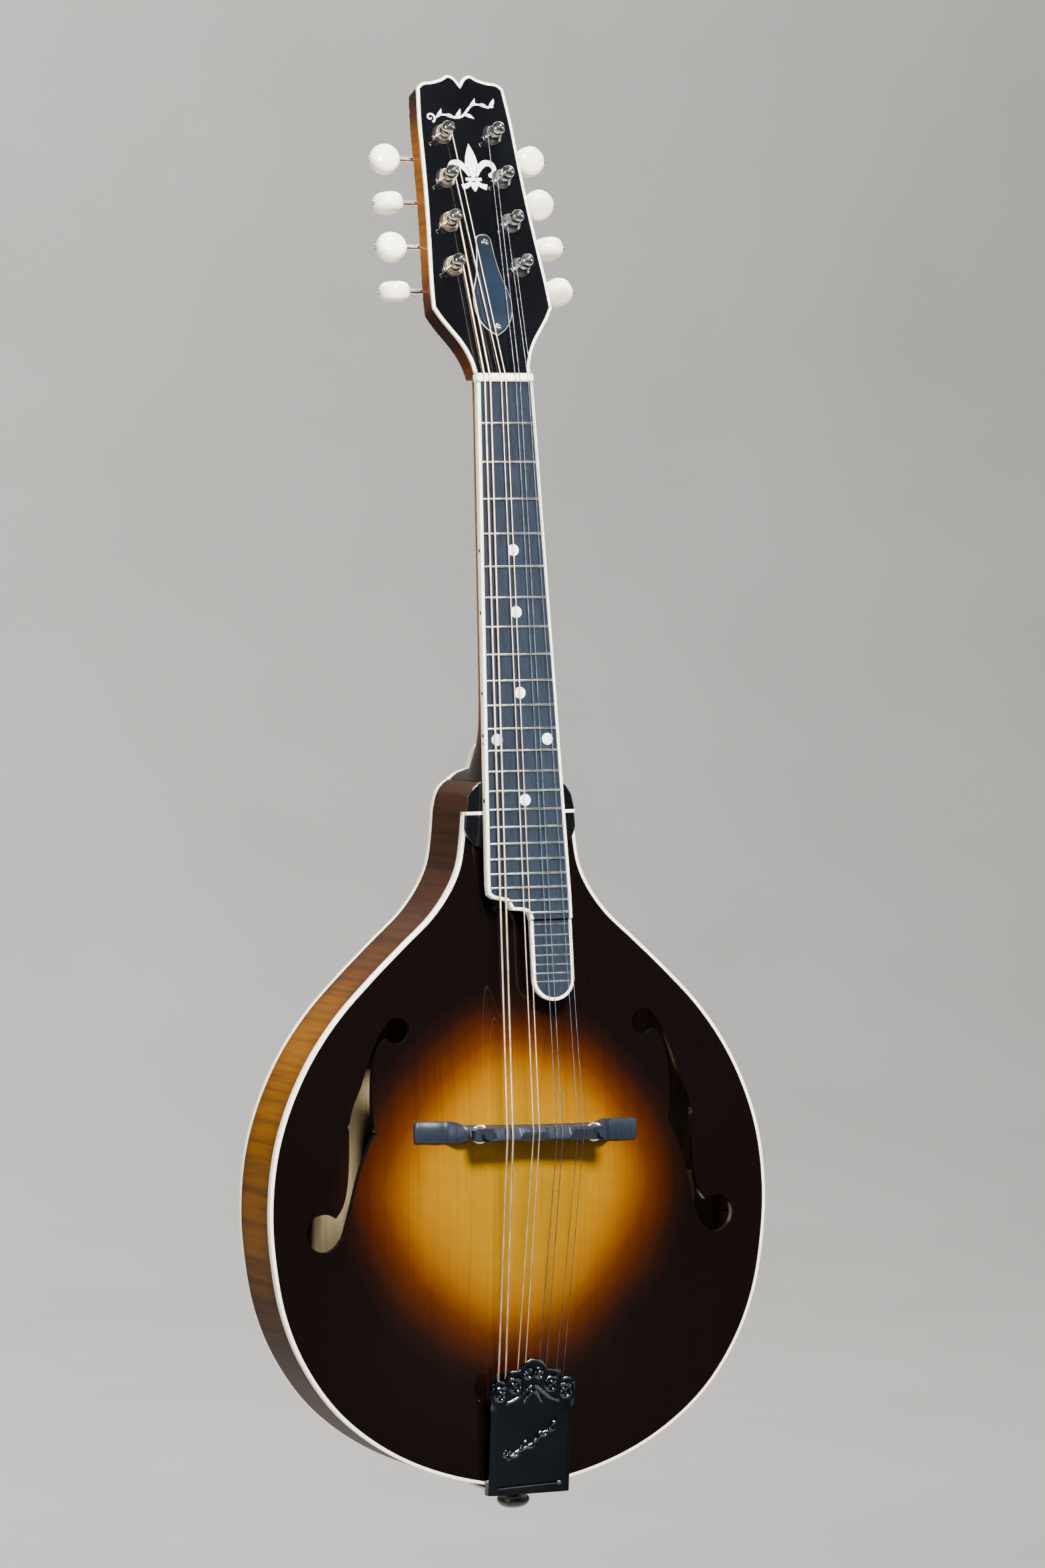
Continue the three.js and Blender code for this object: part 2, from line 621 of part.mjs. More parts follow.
function tunerPlate(side) {
  const row = posts.filter((post) => post.side === side);
  const first = row[0];
  const last = row[3];
  const lean = (first.x - last.x) / (first.z - last.z);
  const along = (z, offset) => [first.x + (z - first.z) * lean + offset, z];
  const outline = pairs([
    along(132, -2.5), along(132, 2.5), along(129.5, 5), along(43.5, 5), along(41, 2.5),
    along(41, -2.5), along(43.5, -5), along(129.5, -5),
  ]);
  let plate = solid(prism(outline, plateFront, plateBack));
  for (const post of row) {
    const wormZ = post.z - wormBelowPost;
    for (const offset of [-3.6, 3.6]) {
      const lugX = post.x + offset;
      const lug = box([lugX - 0.8, lugX + 0.8], [plateFront, lugBack], [wormZ - 2.2, wormZ + 2.2]);
      plate = plate.add(solid(lug));
    }
    const wormHole = rod(shaftRadius + 0.35, post.x - 6, post.x + 6, 6, 'x').translate(0, wormDepth, wormZ);
    const postBore = rod(postHole, 0, 30, 8, 'y').translate(post.x, 0, post.z);
    plate = plate.subtract(solid(wormHole)).subtract(solid(postBore));
  }
  return plate;
}
addMesh(headFrame, 'tuner_plate_bass', tunerPlate(-1), 'nickel');
addMesh(headFrame, 'tuner_plate_treble', tunerPlate(1), 'nickel');

function tunerPost() {
  const top = -capHeight;
  const stem = turned([
    [0, postBack], [postRadius, postBack], [postRadius, top + 5], [2.3, top + 3.6], [3.5, top],
    [2.4, top - 2.4], [0, top - 3.2],
  ], 8, 'y');
  const teeth = Array.from({ length: gearTeeth * 2 }, (_, i) => {
    const radius = i % 2 ? gearInner : gearOuter;
    const turn = Math.PI * i / gearTeeth;
    return new THREE.Vector2(radius * Math.cos(turn), radius * Math.sin(turn));
  });
  return solid(stem).add(solid(prism(teeth, 14.5, 17.4)));
}

function tunerButton(side, turn) {
  const knob = new THREE.SphereGeometry(1, 10, 6).scale(7.2, 4.3, 7.6).translate(buttonReach, 0, 0);
  const wormShaft = turned([
    [0, -5.4], [shaftRadius, -5.4], [shaftRadius, -2.5], [1.75, -2.4], [1.75, 2.4], [shaftRadius, 2.5],
    [shaftRadius, buttonReach - 4], [0, buttonReach - 4],
  ], 6, 'x');
  const piece = solid(knob).add(solid(wormShaft));
  const geometry = geometryOf(piece).rotateX(turn * degrees);
  return side > 0 ? geometry : geometry.rotateZ(Math.PI);
}

for (const post of posts) {
  addMesh(headFrame, `tuner_post_${post.name}`, tunerPost(), 'nickel').position.set(post.x, 0, post.z);
}
for (const post of posts) {
  const shape = tunerButton(post.side, post.turn);
  const button = addMesh(headFrame, `tuner_button_${post.name}`, shape, 'button');
  button.position.set(post.x, wormDepth, post.z - wormBelowPost);
}

// ---------------------------------------------------------------- bridge
const baseHalfLength = 57.5;
const footOutline = pairs([
  [baseHalfLength, -3], [baseHalfLength, 3], [55.5, 5.2], [38, 5.2], [33, 3.6], [-33, 3.6], [-38, 5.2],
  [-55.5, 5.2], [-baseHalfLength, 3], [-baseHalfLength, -3], [-55.5, -5.2], [-38, -5.2], [-33, -3.6],
  [33, -3.6], [38, -5.2], [55.5, -5.2],
]);
const baseProfile = new THREE.Shape(bothSides(pairs([
  [baseHalfLength, 5], [baseHalfLength, -7.6], [46, -9.4], [36, -baseTop],
])));
const baseBlock = new THREE.ExtrudeGeometry(baseProfile, { depth: 12, bevelEnabled: false });
const onBridge = (geometry) => geometry.rotateY(bridgeSlant).translate(0, 0, bridgeZ);
const bridgeMatrix = new THREE.Matrix4().makeRotationY(bridgeSlant).setPosition(0, 0, bridgeZ);
const bridgePoint = (x, y, z) => new THREE.Vector3(x, y, z).applyMatrix4(bridgeMatrix);
const footPrint = solid(onBridge(prism(footOutline, -30, 10)));
const baseSolid = footPrint.intersect(solid(onBridge(baseBlock.translate(0, 0, -6))));
const studRadius = 1.6;
const boredForStuds = (piece, radius, back) => sides.reduce((rest, [, side]) => {
  const bore = rod(radius, -40, back, 10, 'y').translate(side * bridgePostX, 0, 0);
  return rest.subtract(solid(onBridge(bore)));
}, piece);
const bridgeBase = boredForStuds(baseSolid.subtract(topClearance), studRadius + 0.1, -baseTop + 5);
addMesh(body, 'bridge_base', bridgeBase, 'ebony');

// Saddle: a blade whose crest steps back and forth under each pair of strings.
const crestSteps = [[-24, -12, -1.8], [-10.5, 1.5, 0.6], [2.5, 14, -1.6], [15, 26, 1.6]];
const saddleHalfThickness = 3.1;
const crestHalfThickness = 0.6;
const crestFoot = -26;
const bladeProfile = pairs([
  [-33.6, -saddleBottom], [33.6, -saddleBottom], [34.2, -24], [32, -26.2], [26, -26.4], [-24, -26.4],
  [-32, -26.2], [-34.2, -24],
]);
const blade = new THREE.ExtrudeGeometry(new THREE.Shape(bladeProfile), {
  depth: 2 * saddleHalfThickness, bevelEnabled: false,
});
let saddle = solid(onBridge(blade.translate(0, 0, -saddleHalfThickness)));
for (const [from, to, crest] of crestSteps) {
  const wedge = slab([
    [crestFoot, -saddleHalfThickness], [crestFoot, saddleHalfThickness],
    [-saddleTop, crest + crestHalfThickness], [-saddleTop, crest - crestHalfThickness],
  ], from, to);
  saddle = saddle.add(solid(onBridge(wedge)));
}
addMesh(body, 'bridge_saddle', boredForStuds(saddle, studRadius + 0.2, -10), 'ebony');

for (const [name, side] of sides) {
  const stud = rod(studRadius, -25.6, -baseTop + 4.6, 10, 'y');
  const place = bridgePoint(side * bridgePostX, 0, 0);
  addMesh(body, `bridge_post_${name}`, stud, 'nickel').position.copy(place);
  const disc = turned([
    [0, -wheelTop], [4.1, -wheelTop], [wheelRadius, -wheelTop + 0.4], [wheelRadius, -wheelBottom - 0.4],
    [4.1, -wheelBottom], [0, -wheelBottom],
  ], 16, 'y');
  const wheel = solid(disc).subtract(solid(rod(studRadius + 0.2, -30, -10, 10, 'y')));
  addMesh(body, `bridge_wheel_${name}`, wheel, 'nickel').position.copy(place);
}

// ---------------------------------------------------------------- tailpiece
const tailEdge = tailZ - 0.6;
const baseHalfWidth = 17.5;
const basePlateProfile = [
  [-4.6, -268], [-3.4, -268], [-0.7, -321], [-0.6, tailEdge], [25, tailEdge], [25, tailEdge - 1.2],
  [-1.8, tailEdge - 1.2], [-1.9, -321],
];
let tailBase = solid(slab(basePlateProfile, -baseHalfWidth, baseHalfWidth));
for (const x of hookX) {
  const root = box([x - 0.8, x + 0.8], [-6.6, -2.4], [hookZ - 3, hookZ - 1.4]);
  const tip = box([x - 0.8, x + 0.8], [-7.6, -6.4], [hookZ - 5, hookZ - 1.4]);
  tailBase = tailBase.add(solid(root)).add(solid(tip));
}
tailBase = tailBase.subtract(solid(pinHole)).subtract(topClearance);
addMesh(body, 'tailpiece_base', tailBase, 'nickel');

// Cover: a shallow tray, open toward the strings, whose front edge is a row of five lobes.
const coverSlope = 0.115;
const coverTail = -326.4;
const coverHeight = (z) => 6.2 + coverSlope * (z - coverTail);
const coverHalfWidth = 20.9;
const trayOutline = bothSides(pairs([
  [coverHalfWidth, coverTail], [coverHalfWidth, -284], [22, -278], [21.6, -273], [18.8, -269.4],
  [15, -270.6], [12.6, -267], [8, -264.6], [5.6, -261.6], [0, -259.6],
]));
const trayWall = 0.9;
const trayDepth = 5.4;
const earStart = -283;                  // above here the cover is a flat plate with no side walls
function sloped(geometry) {
  const p = geometry.attributes.position;
  for (let i = 0; i < p.count; i += 1) {
    p.setY(i, p.getY(i) - coverHeight(p.getZ(i)));
  }
  return geometry;
}
const tray = solid(sloped(prism(trayOutline, 0, trayDepth)));
const hollowHalf = pairs([
  [coverHalfWidth - trayWall, coverTail + trayWall], [coverHalfWidth - trayWall, -240],
]);
const trayInside = solid(sloped(prism(bothSides(hollowHalf), trayWall, 30)));
const earRoom = solid(box(everywhere, everywhere, [earStart, -250]));
const ears = solid(sloped(prism(trayOutline, 0, trayWall)));
addMesh(body, 'tailpiece_cover', tray.subtract(trayInside).subtract(earRoom).add(ears), 'nickel');

const endPin = turned([
  [0, tailZ + 11], [pinShank, tailZ + 11], [pinShank, tailEdge - 1.5], [4.6, tailEdge - 1.5],
  [4.4, tailEdge - 4], [7.2, tailEdge - 5.6], [7.9, tailEdge - 7.6], [6.6, tailEdge - 10.4], [4, tailEdge - 11.4],
  [0, tailEdge - 11.4],
], 14, 'z');
addMesh(body, 'end_pin', endPin, 'ebony').position.set(0, endPinY, 0);

// ---------------------------------------------------------------- strings
const windHeight = -3.4;                // where a string leaves its post, in front of the headstock
const clear = 0.15;
for (let i = 0; i < stringRadius.length; i += 1) {
  const radius = stringRadius[i];
  const side = i < 4 ? -1 : 1;
  const post = posts.filter((each) => each.side === side)[postOfString[i]];
  const leavingX = post.x - side * (postRadius + radius + 0.35);
  const leaving = new THREE.Vector3(leavingX, windHeight, post.z).applyMatrix4(headMatrix);
  const crest = crestSteps[Math.floor(i / 2)][2];
  const route = [
    pointInBody(leaving.x, leaving.y, leaving.z),
    pointInBody(nutX[i], nutShelf - radius - 0.25, 4.3),
    pointInBody(nutX[i], nutTop - radius - clear, 1.9),
    bridgePoint(saddleX[i], -saddleTop - radius - clear, crest),
    new THREE.Vector3(hookX[i], -5.4, hookZ),
  ];
  addMesh(body, `string_${i + 1}`, wire(route, radius, 8), i < 4 ? 'bronze' : 'steel');
}

export default model;
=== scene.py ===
"""Looks of the mandolin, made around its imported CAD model.

Lengths are in millimetres in four frames that the CAD shares: BODY has y = 0 on the rim's front edge
and z = 0 on the neck joint line, NECK has y = 0 on the fingerboard and z = 0 on the nut's front, HEAD
has y = 0 on the headstock's face, and BRIDGE is BODY moved to the bridge and turned by its slant.
Each frame's matrix turns them into metres in the row frame.
"""
import json
import math

import bmesh
import bpy
import numpy as np
from mathutils import Matrix, Vector


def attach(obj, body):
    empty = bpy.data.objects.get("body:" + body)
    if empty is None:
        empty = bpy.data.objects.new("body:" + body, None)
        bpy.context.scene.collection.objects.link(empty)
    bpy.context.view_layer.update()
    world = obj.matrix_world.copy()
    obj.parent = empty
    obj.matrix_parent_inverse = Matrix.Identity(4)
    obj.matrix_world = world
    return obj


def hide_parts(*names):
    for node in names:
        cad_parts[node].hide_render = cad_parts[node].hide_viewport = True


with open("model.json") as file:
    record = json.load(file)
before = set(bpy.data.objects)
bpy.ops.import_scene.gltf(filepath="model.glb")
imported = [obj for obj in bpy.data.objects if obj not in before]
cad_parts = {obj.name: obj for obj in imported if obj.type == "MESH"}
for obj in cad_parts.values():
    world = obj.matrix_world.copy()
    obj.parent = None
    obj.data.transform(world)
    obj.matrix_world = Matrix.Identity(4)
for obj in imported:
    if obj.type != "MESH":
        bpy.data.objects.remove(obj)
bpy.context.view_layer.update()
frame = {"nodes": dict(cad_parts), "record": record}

# ------------------------------------------------------------------ driving dimensions
SCALE_LENGTH = 352.4
JOINT_FRET = 15
NECK_ANGLE = math.radians(5.68)
BOARD_ABOVE_RIM = 8.83
JOINT_FRET_Z = 0.9
NUT_HALF_WIDTH = 14.3
BOARD_TAPER = 0.0295
BOARD_THICKNESS = 4.5
BOARD_EDGING = 1.5
BOARD_BED = BOARD_THICKNESS + 0.05
RAISED_FRETS = 22
ALL_FRETS = 29
TONGUE_CENTRE = (11, -285)
TONGUE_RADIUS = 10.6
MARKED_FRETS = (5, 7, 10, 12, 15)

RIM_DEPTH = 42.8
RIB_THICKNESS = 2.2
BINDING_WIDTH = 1.6
BINDING_DEPTH = 4.0
PLATE_EDGE = 3.4
PLATE_CENTRE = 4.6
TOP_ARCH = 11.7
BACK_ARCH = 10.0
ARCH_CENTRE_Z = -165.0
ARCH_SPREAD = 0.85
PLATFORM_FRONT = -2.6
PLATFORM_HALF_WIDTH = 28.0
NECK_EDGE = 28.3

HEAD_ANGLE = math.radians(14)
HEAD_START = (0, 3.06, 5)
HEAD_THICKNESS = 12.2
OVERLAY_THICKNESS = 1.8
HEAD_BINDING = 1.5

FIRST_POST = (13, 123)
POST_STEP = (1.53, -22.9)
POST_RADIUS = 3.0
CAP_HEIGHT = 8.5
WORM_BELOW_POST = 6.6
WORM_DEPTH = 16.2
BUTTON_REACH = 24.6
BUTTON_RADIUS = 7.5
BUTTON_HALF_THICKNESS = 5.0
STRING_LEAVES_POST = -3.4
BUTTON_TURNS = {"bass": (0, 85, 10, 70), "treble": (15, 40, 90, 60)}
GEAR_TEETH = 14

BRIDGE_Z = -152.5
BRIDGE_SLANT = math.radians(1.4)
BRIDGE_POST_X = 29.5
BASE_HALF_LENGTH = 57.5
SADDLE_HALF_LENGTH = 34.2
BASE_TOP = 16.0
WHEEL_BOTTOM = 17.8
WHEEL_TOP = 20.1
WHEEL_RADIUS = 4.6
SADDLE_BOTTOM = 20.4
SADDLE_TOP = 28.1
CREST_STEPS = ((-24, -12, -1.8), (-10.5, 1.5, 0.6), (2.5, 14, -1.6), (15, 26, 1.6))

TAIL_Z = -323.6
TAIL_EDGE = TAIL_Z - 0.6
END_PIN_Y = 14.0

STRING_RADIUS = (0.5, 0.5, 0.32, 0.32, 0.2, 0.2, 0.15, 0.15)
NUT_X = (-11.2, -8.4, -2.7, -0.3, 4.9, 7.1, 11.3, 13)
SADDLE_X = (-19.2, -16.3, -5.7, -2.6, 6.5, 9.4, 17.4, 20.4)
HOOK_X = (-16.2, -12.4, -7.2, -3.2, 3.2, 7.3, 12.2, 16.2)
POST_OF_STRING = (3, 2, 1, 0, 0, 1, 2, 3)
HOOK_Z = -292.0
COVER_SLOPE = 0.115
COVER_TAIL = -326.4
COVER_HALF = 20.9
SIDES = (("bass", -1), ("treble", 1))

CAMERA_PLACE = (-1.13158, -2.70355, -0.10678)
CAMERA_TURN = (-22.972, 2.169, -0.503)
CAMERA_LENS = 140.06
FLOOR_HEIGHT = -1.15


def fret_distance(fret):
    return SCALE_LENGTH * (1 - 2 ** (-fret / 12))


def tilted(origin, tilt):
    return Matrix.Translation(Vector(origin)) @ Matrix.Rotation(-tilt, 4, "X")


board_to_joint = fret_distance(JOINT_FRET)
neck_in_body = tilted(
    (
        0,
        board_to_joint * math.sin(NECK_ANGLE) - BOARD_ABOVE_RIM,
        board_to_joint * math.cos(NECK_ANGLE) + JOINT_FRET_Z,
    ),
    NECK_ANGLE,
)
head_in_neck = tilted(HEAD_START, HEAD_ANGLE)
head_in_body = neck_in_body @ head_in_neck
bridge_in_body = Matrix.Translation((0, 0, BRIDGE_Z)) @ Matrix.Rotation(BRIDGE_SLANT, 4, "Y")
yoke = head_in_body @ Vector((0, HEAD_THICKNESS / 2, 24))
BODY = Matrix.Scale(0.001, 4) @ Matrix.Translation(-yoke)
NECK = BODY @ neck_in_body
BRIDGE = BODY @ bridge_in_body
HEAD = BODY @ head_in_body


# ------------------------------------------------------------------ outlines
def smooth(points, steps):
    """A centripetal Catmull-Rom curve through the points, as evenly spaced points."""
    p = np.array(points, float)
    p = np.vstack([2 * p[0] - p[1], p, 2 * p[-1] - p[-2]])
    dense = []
    for a, b, c, d in zip(p, p[1:], p[2:], p[3:]):
        t1 = math.dist(a, b) ** 0.5
        t2 = t1 + math.dist(b, c) ** 0.5
        t3 = t2 + math.dist(c, d) ** 0.5
        t = np.linspace(t1, t2, 24, endpoint=False)[:, None]
        ab = ((t1 - t) * a + t * b) / t1
        bc = ((t2 - t) * b + (t - t1) * c) / (t2 - t1)
        cd = ((t3 - t) * c + (t - t2) * d) / (t3 - t2)
        abc = ((t2 - t) * ab + t * bc) / t2
        bcd = ((t3 - t) * bc + (t - t1) * cd) / (t3 - t1)
        dense.append(((t2 - t) * abc + (t - t1) * bcd) / (t2 - t1))
    return respaced(np.vstack([*dense, p[-2:-1]]), steps)


def respaced(points, steps):
    points = np.array(points, float)
    length = np.concatenate([[0], np.cumsum(np.linalg.norm(np.diff(points, axis=0), axis=1))])
    at = np.linspace(0, length[-1], steps + 1)
    return np.stack([np.interp(at, length, column) for column in points.T], axis=1)


def arc(centre, radius, start, end, steps):
    """Points on a circle, from one angle in degrees to another."""
    turn = np.radians(np.linspace(start, end, steps + 1))
    return np.stack([centre[0] + radius * np.cos(turn), centre[1] + radius * np.sin(turn)], axis=1)


def bowed(start, end, bulge, steps):
    """An arc from start to end that stands out to the left of the way by bulge."""
    start, end = np.array(start, float), np.array(end, float)
    half = (end - start) / 2
    left = np.array([-half[1], half[0]]) / np.linalg.norm(half)
    t = np.linspace(-1, 1, steps + 1)[:, None]
    return (start + end) / 2 + half * t + left * bulge * (1 - t * t)


def mirrored(points):
    return (np.array(points, float) * (-1, 1))[::-1]


def both_sides(half):
    """The right half of an outline, closed by its mirror image."""
    half = np.array(half, float)
    off_axis = half[np.abs(half[:, 0]) > 1e-6]
    return np.vstack([half, mirrored(off_axis)])


def is_clockwise(outline):
    x, z = outline.T
    return np.sum(x * np.roll(z, -1) - np.roll(x, -1) * z) < 0


def inset(outline, distance):
    """Moves every side of a closed outline inwards by the same distance."""
    outline = np.array(outline, float)
    side = np.roll(outline, -1, axis=0) - outline
    side /= np.maximum(np.linalg.norm(side, axis=1), 1e-9)[:, None]
    turn = -1 if is_clockwise(outline) else 1
    normal = np.stack([-side[:, 1] * turn, side[:, 0] * turn], axis=1)
    before = np.roll(normal, 1, axis=0)
    bisector = before + normal
    bisector /= np.linalg.norm(bisector, axis=1)[:, None]
    reach = distance / np.maximum(np.sum(bisector * before, axis=1), 0.35)
    return outline + bisector * reach[:, None]


# ------------------------------------------------------------------ shapes, as (points, faces)
def joined(*shapes):
    points, faces = [], []
    for p, f in shapes:
        start = len(points)
        points.extend(tuple(float(c) for c in v) for v in p)
        faces.extend(tuple(i + start for i in face) for face in f)
    return points, faces


def moved(shape, offset, turn=None):
    points = np.array(shape[0], float)
    if turn is not None:
        points = points @ np.array(turn.to_3x3()).T
    return points + np.array(offset, float), shape[1]


def loft(rings, closed=True, caps=True):
    count = len(rings[0])
    span = count if closed else count - 1
    faces = []
    for r in range(len(rings) - 1):
        for i in range(span):
            a, b = r * count + i, r * count + (i + 1) % count
            faces.append((a, b, b + count, a + count))
    if caps:
        last = (len(rings) - 1) * count
        faces.append(tuple(range(count))[::-1])
        faces.append(tuple(range(last, last + count)))
    return [tuple(v) for ring in rings for v in ring], faces


def at_y(outline, y):
    return [(x, y, z) for x, z in outline]


def prism(outline, front, back):
    return loft([at_y(outline, front), at_y(outline, back)])


def slab(half, low, high, front, back):
    """A block from -half to half in x and from low to high in z."""
    return prism([(-half, low), (half, low), (half, high), (-half, high)], front, back)


def rod(centre, radius, sides, front, back):
    """A round bar along y."""
    return prism(arc(centre, radius, 0, 360, sides)[:-1], front, back)


def hoop(outer, inner, front, back, soft=0.25):
    """A band between two outlines, with its corners eased by soft."""
    mid = soft * 0.3
    rings = [
        at_y(inset(outer, soft), front), at_y(inset(outer, mid), front + mid),
        at_y(outer, front + soft), at_y(outer, back - soft), at_y(inset(outer, mid), back - mid),
        at_y(inset(outer, soft), back), at_y(inner, back), at_y(inner, front),
    ]
    rings.append(rings[0])
    return loft(rings, caps=False)


def turned(profile, sides, along="y"):
    """Turns a profile of (radius, place on the axis) round the axis."""
    rings = []
    turn = np.arange(sides) * 2 * math.pi / sides
    for radius, place in profile:
        a, b = max(radius, 1e-3) * np.cos(turn), max(radius, 1e-3) * np.sin(turn)
        where = np.full(sides, float(place))
        order = {"x": (where, a, b), "y": (b, where, a), "z": (a, b, where)}[along]
        rings.append(np.stack(order, axis=1))
    return loft(rings)


def tube(path, radius, sides):
    """A round tube along a path, kept from twisting."""
    path = np.array(path, float)
    tangent = np.gradient(path, axis=0)
    tangent /= np.linalg.norm(tangent, axis=1)[:, None]
    helper = np.eye(3)[np.argmin(np.abs(tangent[0]))]
    side = np.cross(tangent[0], helper)
    rings = []
    turn = np.arange(sides)[:, None] * 2 * math.pi / sides
    for point, ahead in zip(path, tangent):
        side = side - ahead * np.dot(side, ahead)
        side /= np.linalg.norm(side)
        up = np.cross(ahead, side)
        rings.append(point + radius * (np.cos(turn) * side + np.sin(turn) * up))
    return loft(rings)


def strip(path, width, front, back):
    """A flat inlay along a path in x and z, with its width at each point."""
    path = np.array(path, float)
    ahead = np.gradient(path, axis=0)
    ahead /= np.linalg.norm(ahead, axis=1)[:, None]
    left = np.stack([-ahead[:, 1], ahead[:, 0]], axis=1) * (width / 2)[:, None]
    return prism(np.vstack([path + left, (path - left)[::-1]]), front, back)


# ------------------------------------------------------------------ pieces
def linked(name, data):
    made = bpy.data.objects.new(name, data)
    bpy.context.scene.collection.objects.link(made)
    return made


def meshed(name, shape, place=Matrix()):
    mesh = bpy.data.meshes.new(name)
    mesh.from_pydata([place @ Vector(v) for v in shape[0]], [], shape[1])
    made = linked(name, mesh)
    recalculate(made)
    return made


def piece(name, shape, place, material, body="root", sharp=35, replaces=""):
    made = meshed(name, shape, place)
    made.data.materials.append(material)
    shade(made, sharp)
    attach(made, body)
    if replaces:
        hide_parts(replaces)
    return made


def recalculate(made):
    edit = bmesh.new()
    edit.from_mesh(made.data)
    bmesh.ops.remove_doubles(edit, verts=edit.verts, dist=1e-7)
    bmesh.ops.recalc_face_normals(edit, faces=edit.faces)
    edit.to_mesh(made.data)
    edit.free()


def shade(made, sharp):
    made.data.shade_smooth()
    made.data.set_sharp_from_angle(angle=math.radians(sharp))


def applied(made, sharp):
    """Replaces a piece's mesh by what its modifiers make of it."""
    bpy.context.view_layer.update()
    seen = made.evaluated_get(bpy.context.evaluated_depsgraph_get())
    mesh = bpy.data.meshes.new_from_object(seen)
    made.modifiers.clear()
    made.data = mesh
    shade(made, sharp)


def eased(made, width, segments=2):
    """Rounds a piece's hard edges; width is in millimetres."""
    bevel = made.modifiers.new("ease", "BEVEL")
    bevel.width = width * 0.001
    bevel.segments = segments
    bevel.limit_method = "ANGLE"
    bevel.angle_limit = math.radians(40)
    bevel.use_clamp_overlap = True
    applied(made, 35)


def cut(made, shape, place, sharp=35):
    """Takes a shape away from a piece."""
    cutter = meshed("cutter", shape, place)
    boolean = made.modifiers.new("cut", "BOOLEAN")
    boolean.operation = "DIFFERENCE"
    boolean.solver = "EXACT"
    boolean.object = cutter
    applied(made, sharp)
    bpy.data.objects.remove(cutter)


def give(made, name, values):
    """Stores one number for each point of a piece, for its material to read."""
    attribute = made.data.attributes.new(name, "FLOAT", "POINT")
    attribute.data.foreach_set("value", np.array(values, np.float32))


def places_of(made, place):
    """A piece's points in millimetres in one of the frames."""
    flat = np.zeros(len(made.data.vertices) * 3, np.float32)
    made.data.vertices.foreach_get("co", flat)
    back = np.array(place.inverted(), float)
    return flat.reshape(-1, 3) @ back[:3, :3].T + back[:3, 3]


# ------------------------------------------------------------------ material helpers
def colour(code):
    """A colour written as in a paint chart, such as "c69214", in Blender's linear values."""
    parts = [int(code[i:i + 2], 16) / 255 for i in (0, 2, 4)]
    return tuple(c / 12.92 if c <= 0.04045 else ((c + 0.055) / 1.055) ** 2.4 for c in parts) + (1.0,)


class Finish:
    """A material and short ways to add nodes to it."""

    def __init__(self, name):
        self.material = bpy.data.materials.new(name)
        self.material.use_nodes = True
        self.tree = self.material.node_tree
        self.shader = self.tree.nodes["Principled BSDF"]
        self.coords = self.add("ShaderNodeTexCoord").outputs["Object"]

    def add(self, kind, inputs=(), **settings):
        made = self.tree.nodes.new(kind)
        for key, value in settings.items():
            setattr(made, key, value)
        for key, value in dict(inputs).items():
            self.put(made.inputs[key], value)
        return made

    def put(self, socket, value):
        if isinstance(value, bpy.types.NodeSocket):
            self.tree.links.new(value, socket)
        else:
            socket.default_value = value

    def set(self, **values):
        for key, value in values.items():
            self.put(self.shader.inputs[key.replace("_", " ")], value)

    def stretched(self, vector, *scale, turn=(0, 0, 0)):
        inputs = {"Vector": vector, "Scale": scale, "Rotation": turn}
        return self.add("ShaderNodeMapping", inputs).outputs["Vector"]

    def scaled(self, *scale, turn=(0, 0, 0)):
        return self.stretched(self.coords, *scale, turn=turn)

    def noise(self, vector, scale, detail, rough=0.5, distortion=0.0):
        return self.add("ShaderNodeTexNoise", {
            "Vector": vector, "Scale": scale, "Detail": detail, "Roughness": rough,
            "Distortion": distortion,
        }).outputs["Fac"]

    def ramp(self, factor, *stops):
        made = self.add("ShaderNodeValToRGB", {"Fac": factor})
        elements = made.color_ramp.elements
        while len(elements) < len(stops):
            elements.new(0.5)
        for element, (place, tone) in zip(elements, stops):
            element.position = place
            element.color = colour(tone) if isinstance(tone, str) else (tone,) * 3 + (1.0,)
        return made.outputs["Color"]

    def blend(self, factor, dark, light, low=0.3, high=0.7):
        return self.ramp(factor, (low, dark), (high, light))

    def mix(self, factor, a, b, blend="MIX"):
        made = self.add("ShaderNodeMix", data_type="RGBA", blend_type=blend)
        for index, value in ((0, factor), (6, a), (7, b)):
            self.put(made.inputs[index], colour(value) if isinstance(value, str) else value)
        return made.outputs[2]

    def vary(self, value, to_low, to_high, low=0.3, high=0.7):
        return self.add("ShaderNodeMapRange", {
            "Value": value, "From Min": low, "From Max": high, "To Min": to_low, "To Max": to_high,
        }).outputs["Result"]

    def maths(self, operation, a, b):
        made = self.add("ShaderNodeMath", operation=operation)
        self.put(made.inputs[0], a)
        self.put(made.inputs[1], b)
        return made.outputs["Value"]

    def value(self, name):
        return self.add("ShaderNodeAttribute", attribute_name=name).outputs["Fac"]

    def bump(self, height, strength, distance=0.0002):
        made = self.add("ShaderNodeBump", {"Height": height, "Strength": strength, "Distance": distance})
        self.set(Normal=made.outputs["Normal"])
        return self.material

    def lacquer(self, weight, roughness=0.04):
        """A clear gloss coat, very slightly wavy."""
        waves = self.noise(self.coords, 45.0, 1.0)
        normal = self.add("ShaderNodeBump", {"Height": waves, "Strength": 0.04, "Distance": 0.0006})
        self.set(Coat_Weight=weight, Coat_Roughness=roughness, Coat_Normal=normal.outputs["Normal"])
        return self.material


